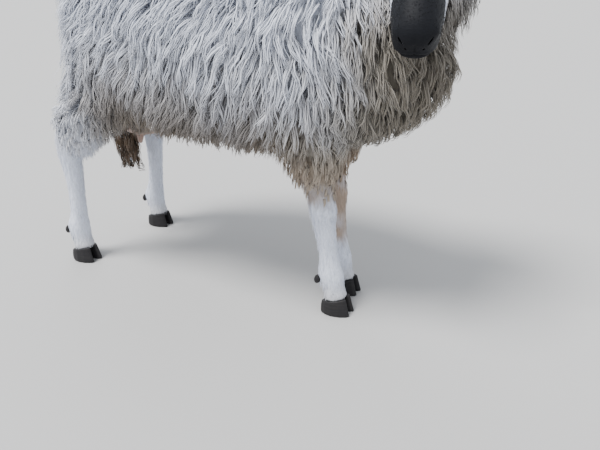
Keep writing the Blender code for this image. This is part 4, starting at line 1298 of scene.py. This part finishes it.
# Length of the locks at heights over the floor.
LOCK_HEIGHTS = (0.222, 0.26, 0.30, 0.34, 0.40, 0.62)
LOCK_LENGTHS = (0.014, 0.020, 0.034, 0.054, 0.082, 0.078)
LOCK_ROOM = WOOL_DEPTH - 0.009         # how far over the skin the outermost locks rest
TAIL_ROOM = TAIL_WOOL_DEPTH - 0.003
TIP_BELOW = 0.75                       # how far a tip hangs below its root, against its length
EAR_ROOTS = (0.058, 0.055)             # the ears lie outside this y and behind this x
LEG_HEIGHTS = (0.02, 0.06, 0.12, 0.20, 0.26)
LEG_LENGTHS = (0.011, 0.013, 0.014, 0.016, 0.020)
FETLOCK_EXTRA = 0.011


def near_face(places):
    """1 where the neck's wool meets the head, 0 far from it."""
    away = np.linalg.norm(to_head(places) - FACE_MIDDLE, axis=1)
    return ramp(-away, -FACE_REACH[0], -FACE_REACH[1])


def add_fleece():
    """Locks of wool: shorter near the face, on the chest, in the flank's fold and at the rear."""
    poll = head_part & (skin_local[:, 0] < 0.010) & (np.abs(skin_local[:, 1]) < 0.052)
    bare = (head_part & ~poll) | udder_part | (tail_share(skin_points) > 0.5)
    bare = bare & ~(udder_part & (skin_height > 0.315))
    above = skin_height - coat_edge(skin_points)
    found = [scatter(share * ~bare, FLEECE.spacing)
             for share in (ramp(above, -0.009, 0.009), near_face(skin_points))]
    roots, normals = (np.concatenate(rows) for rows in zip(*found))
    x, y, z = drawn(roots).T
    close = near_face(roots)
    chest = ramp(x, FORE_X + 0.05, FORE_X + 0.13) * ramp(-z, -0.56, -0.48)
    front = ramp(x, FORE_X - 0.02, FORE_X + 0.10) * ramp(-z, -0.62, -0.46)
    ahead = x - HIND_X
    fold = ramp(ahead, 0.02, 0.06) * ramp(-ahead, -0.19, -0.14) * ramp(-z, -0.44, -0.36)
    fold = fold * ramp(np.abs(roots[:, 1]), 0.075, 0.100)
    rear = ramp(-ahead, -0.05, 0.0) * ramp(-z, -0.44, -0.34)
    lengths = np.interp(z, LOCK_HEIGHTS, LOCK_LENGTHS)
    for part, less in ((close, 0.45), (chest, 0.25), (fold, 0.35), (rear, 0.45)):
        lengths = lengths * (1.0 - less * part)
    lengths = lengths * draw.uniform(0.8, 1.15, len(roots))
    depths = np.maximum(np.array([wool_share(height) for height in z]) * LOCK_ROOM, 0.003)
    for part, less in ((close, 0.4), (chest, 0.35), (rear, 0.55), (nape_share(x, y, z), -0.60)):
        depths = depths * (1.0 - less * part)
    depths = depths * draw.uniform(0.55, 0.98, len(roots))
    tips = wool_colour(roots - np.outer(TIP_BELOW * lengths, np.array(AXIS_Z)))
    # Painted shade: the roots are darker and creamier, less so high up and at the rear; whole locks
    # are darker low on the front of the chest.
    root_shade = 0.45 - 0.30 * np.maximum(ramp(z, 0.44, 0.54), rear)
    tints = mix(wool_colour(roots), CREAM_WOOL * 0.85, root_shade) * (1.0 - 0.45 * front)[:, None]
    lies = body_lie(roots, normals)
    on_poll = on_head(roots)
    for name, rows, surface in (("fleece", ~on_poll, body_surface), ("poll_wool", on_poll, None)):
        fleece = Tufts(FLEECE, roots[rows], normals[rows], lies[rows], lengths[rows], depths[rows],
                       tints[rows], tips[rows], surface=surface)
        fleece.add(name, WOOL, "fleece")


def add_tail_wool():
    roots, normals = scatter(tail_share(skin_points) * ~udder_part, TAIL_WOOL.spacing)
    lies = np.tile((-0.05, 0.0, -1.0), (len(roots), 1))
    lengths = draw.uniform(0.050, 0.080, len(roots)) * (1.0 - 0.15 * ramp(-roots[:, 2], -0.26, -0.20))
    depths = draw.uniform(0.5, 0.95, len(roots)) * TAIL_ROOM
    tips = wool_colour(roots)
    # Painted shade: the roots are at 0.7 of the tips' colour.
    tail = Tufts(TAIL_WOOL, roots, normals, lies, lengths, depths, tips * 0.7, tips)
    tail.add("tail_wool", STAINED, "stained_fleece")


def add_head_hair(name, chosen, kind, length, slot):
    """Short hair on a part of the head: back from the nose, or outward along an ear."""
    roots, normals = scatter(chosen.astype(float), kind.spacing)
    place = to_head(roots)
    bare_nose = ramp(place[:, 0], 0.222, 0.232)
    kept = draw.random(len(roots)) > bare_nose
    roots, normals, place = roots[kept], normals[kept], place[kept]
    outward = np.outer(np.sign(place[:, 1]), np.array(HEAD_SIDE))
    if kind is EAR_HAIR:
        lies = outward + np.array((0, 0, -0.15))
    else:
        lies = -np.array(HEAD_AXIS) + outward * 0.25
        lies = lies + np.array((0, 0, -0.2)) * ramp(-place[:, 0], -0.12, 0.0)[:, None]
    lies = turned(unit(lies), normals, 0.25 * ripple(roots, 0.03, 31))
    muzzle = ramp(place[:, 0], 0.12, 0.20)
    lengths = length * draw.uniform(0.8, 1.2, len(roots)) * (1.0 - 0.45 * muzzle)
    depths = draw.uniform(0.0002, 0.0007, len(roots)) * (1.0 - 0.6 * muzzle)
    tips = hair_colour(roots, np.ones(len(roots), bool))
    hair = Tufts(kind, roots, normals, lies, lengths, depths, tips, tips, 0.20)
    hair.add(name, HAIR, slot)


def add_face_hair():
    beside, ahead = EAR_ROOTS
    ears = head_part & (np.abs(skin_local[:, 1]) > beside) & (skin_local[:, 0] < ahead)
    add_head_hair("face_hair", head_part & ~ears, FACE_HAIR, 0.0085, "face")
    add_head_hair("ear_hair", ears, EAR_HAIR, 0.0100, "short_hair")


def add_leg_hair():
    above = skin_height - coat_edge(skin_points)
    chosen = ramp(-above, -0.066, -0.046) * ~udder_part * ~(tail_share(skin_points) > 0.5)
    roots, normals = scatter(chosen, LEG_HAIR.spacing)
    x, _, z = drawn(roots).T
    lies = np.tile((0.0, 0.0, -1.0), (len(roots), 1))
    lies = turned(lies, normals, 0.20 * ripple(roots, 0.05, 33))
    middle = np.where(x > 0.5 * (FORE_X + HIND_X), FORE_X, HIND_X)
    fetlock = ramp(z, 0.045, 0.065) * ramp(-z, -0.100, -0.080) * ramp(middle - x, 0.0, 0.02)
    lengths = np.interp(z, LEG_HEIGHTS, LEG_LENGTHS) + FETLOCK_EXTRA * fetlock
    lengths = lengths * draw.uniform(0.8, 1.2, len(roots))
    depths = np.interp(z, (0.0, 0.20, 0.26), (0.0002, 0.0003, 0.0015))
    depths = depths * draw.uniform(0.5, 1.0, len(roots))
    lengths = np.minimum(lengths, np.maximum(z - 0.012, 0.003))
    tips = hair_colour(roots, np.zeros(len(roots), bool))
    hair = Tufts(LEG_HAIR, roots, normals, lies, lengths, depths, tips, tips, 0.22)
    hair.add("leg_hair", HAIR, "short_hair")


add_fleece()
add_tail_wool()
add_face_hair()
add_leg_hair()


# The eyes: amber with a long level pupil, under a clear wet front. Distances from the eye's own
# line of sight are in shares of its radius.

AMBER = np.array((0.22, 0.115, 0.028))
IRIS_RIM = np.array((0.018, 0.012, 0.009))
EYE_WHITE = np.array((0.16, 0.10, 0.07))
PUPIL = np.array((0.004, 0.004, 0.005))
PUPIL_HALF = (0.38, 0.15)
BULGE = 0.045


def add_eye(side):
    name = "eye_left" if side > 0 else "eye_right"
    box_low, box_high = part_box(name)
    centre = (box_low + box_high) / 2
    _, outward, _ = eye_frame(side)
    gaze = (HEAD_TURN @ Vector(outward)).normalized()
    across = AXIS_Z.cross(gaze).normalized()
    upward = gaze.cross(across)
    mesh = bpy.data.meshes.new(name + "_ball")
    shape = bmesh.new()
    bmesh.ops.create_uvsphere(shape, u_segments=96, v_segments=64, radius=1.0)
    shape.to_mesh(mesh)
    shape.free()
    made = make_object(name + "_ball", mesh)
    points = rows_of(made)
    flat = np.linalg.norm(points[:, :2], axis=1) * np.sign(points[:, 2].clip(-1, 1) + 1e-6)
    front = points[:, 2] > 0
    off_axis = np.where(front, flat, 1.0)
    bulge = 1.0 + BULGE * ramp(-off_axis, -0.72, -0.30)
    angle = np.arctan2(points[:, 1], points[:, 0])
    streak = 0.85 + 0.15 * np.sin(angle * 46 + 3 * np.sin(angle * 7))
    colour = mix(np.outer(streak, AMBER), IRIS_RIM, ramp(off_axis, 0.52, 0.66))
    colour = mix(colour, EYE_WHITE, ramp(off_axis, 0.74, 0.86))
    shares = np.abs(points[:, :2]) / np.array(PUPIL_HALF)
    pupil = ramp(1.0 - (shares ** 3).sum(axis=1), -0.10, 0.15) * front
    colour = mix(colour, PUPIL, pupil)
    turn = np.array(Matrix((across, upward, gaze)))
    set_points(made, (points * bulge[:, None] * EYE_RADIUS) @ turn + np.array(centre))
    made.data.shade_smooth()
    add_colours(made.data, colour)
    made.data.materials.append(EYE)
    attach(made, "root")
    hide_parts(name)


add_eye(1)
add_eye(-1)


# Camera, floor and light.

CAMERA_PLACE = Vector((FORE_X + 0.363, -0.821, 0.564)) + SHIFT
CAMERA_RIGHT = Vector((0.8788, 0.4772, 0))
CAMERA_DOWN = math.radians(24.5)
LENS = 32.58
SENSOR = 36.0
FLOOR_REACH = 200.0
FLOOR_COLOUR = (0.415, 0.412, 0.408, 1)
SKY_COLOUR = (0.86, 0.90, 0.96, 1)
SKY_STRENGTH = 1.3


def add_camera():
    data = bpy.data.cameras.new("camera")
    data.lens = LENS
    data.sensor_width = SENSOR
    data.clip_start = 0.02
    data.clip_end = 100
    made = bpy.data.objects.new("camera", data)
    level = AXIS_Z.cross(CAMERA_RIGHT)
    forward = level * math.cos(CAMERA_DOWN) - AXIS_Z * math.sin(CAMERA_DOWN)
    upward = CAMERA_RIGHT.cross(forward)
    turn = Matrix((CAMERA_RIGHT, upward, -forward)).transposed().to_4x4()
    made.matrix_world = Matrix.Translation(CAMERA_PLACE) @ turn
    bpy.context.scene.collection.objects.link(made)
    bpy.context.scene.camera = made


def add_floor():
    mesh = bpy.data.meshes.new("floor")
    corners = ((-1, -1), (1, -1), (1, 1), (-1, 1))
    mesh.from_pydata([(x * FLOOR_REACH, y * FLOOR_REACH, 0) for x, y in corners], [],
                     [(0, 1, 2, 3)])
    floor = make_object("floor", mesh)
    made, _, _ = new_material("floor", {
        "Base Color": FLOOR_COLOUR, "Roughness": 0.95, "Specular IOR Level": 0.1})
    mesh.materials.append(made)


def add_sun(name, way, strength, spread, colour):
    """A soft distant light that shines along a way; its spread is in degrees."""
    data = bpy.data.lights.new(name, "SUN")
    data.energy = strength
    data.angle = math.radians(spread)
    data.color = colour
    made = bpy.data.objects.new(name, data)
    made.rotation_euler = Vector(way).to_track_quat("-Z", "Y").to_euler()
    bpy.context.scene.collection.objects.link(made)


def add_world():
    world = bpy.data.worlds.new("studio")
    world.use_nodes = True
    background = world.node_tree.nodes["Background"]
    put(background, {"Color": SKY_COLOUR, "Strength": SKY_STRENGTH})
    bpy.context.scene.world = world


add_camera()
add_floor()
add_world()
add_sun("key", (0.25, 0.45, -1.0), 6.0, 22, (1.0, 0.99, 0.975))
add_sun("rim", (0.55, -0.50, -0.60), 0.8, 30, (0.95, 0.97, 1.0))
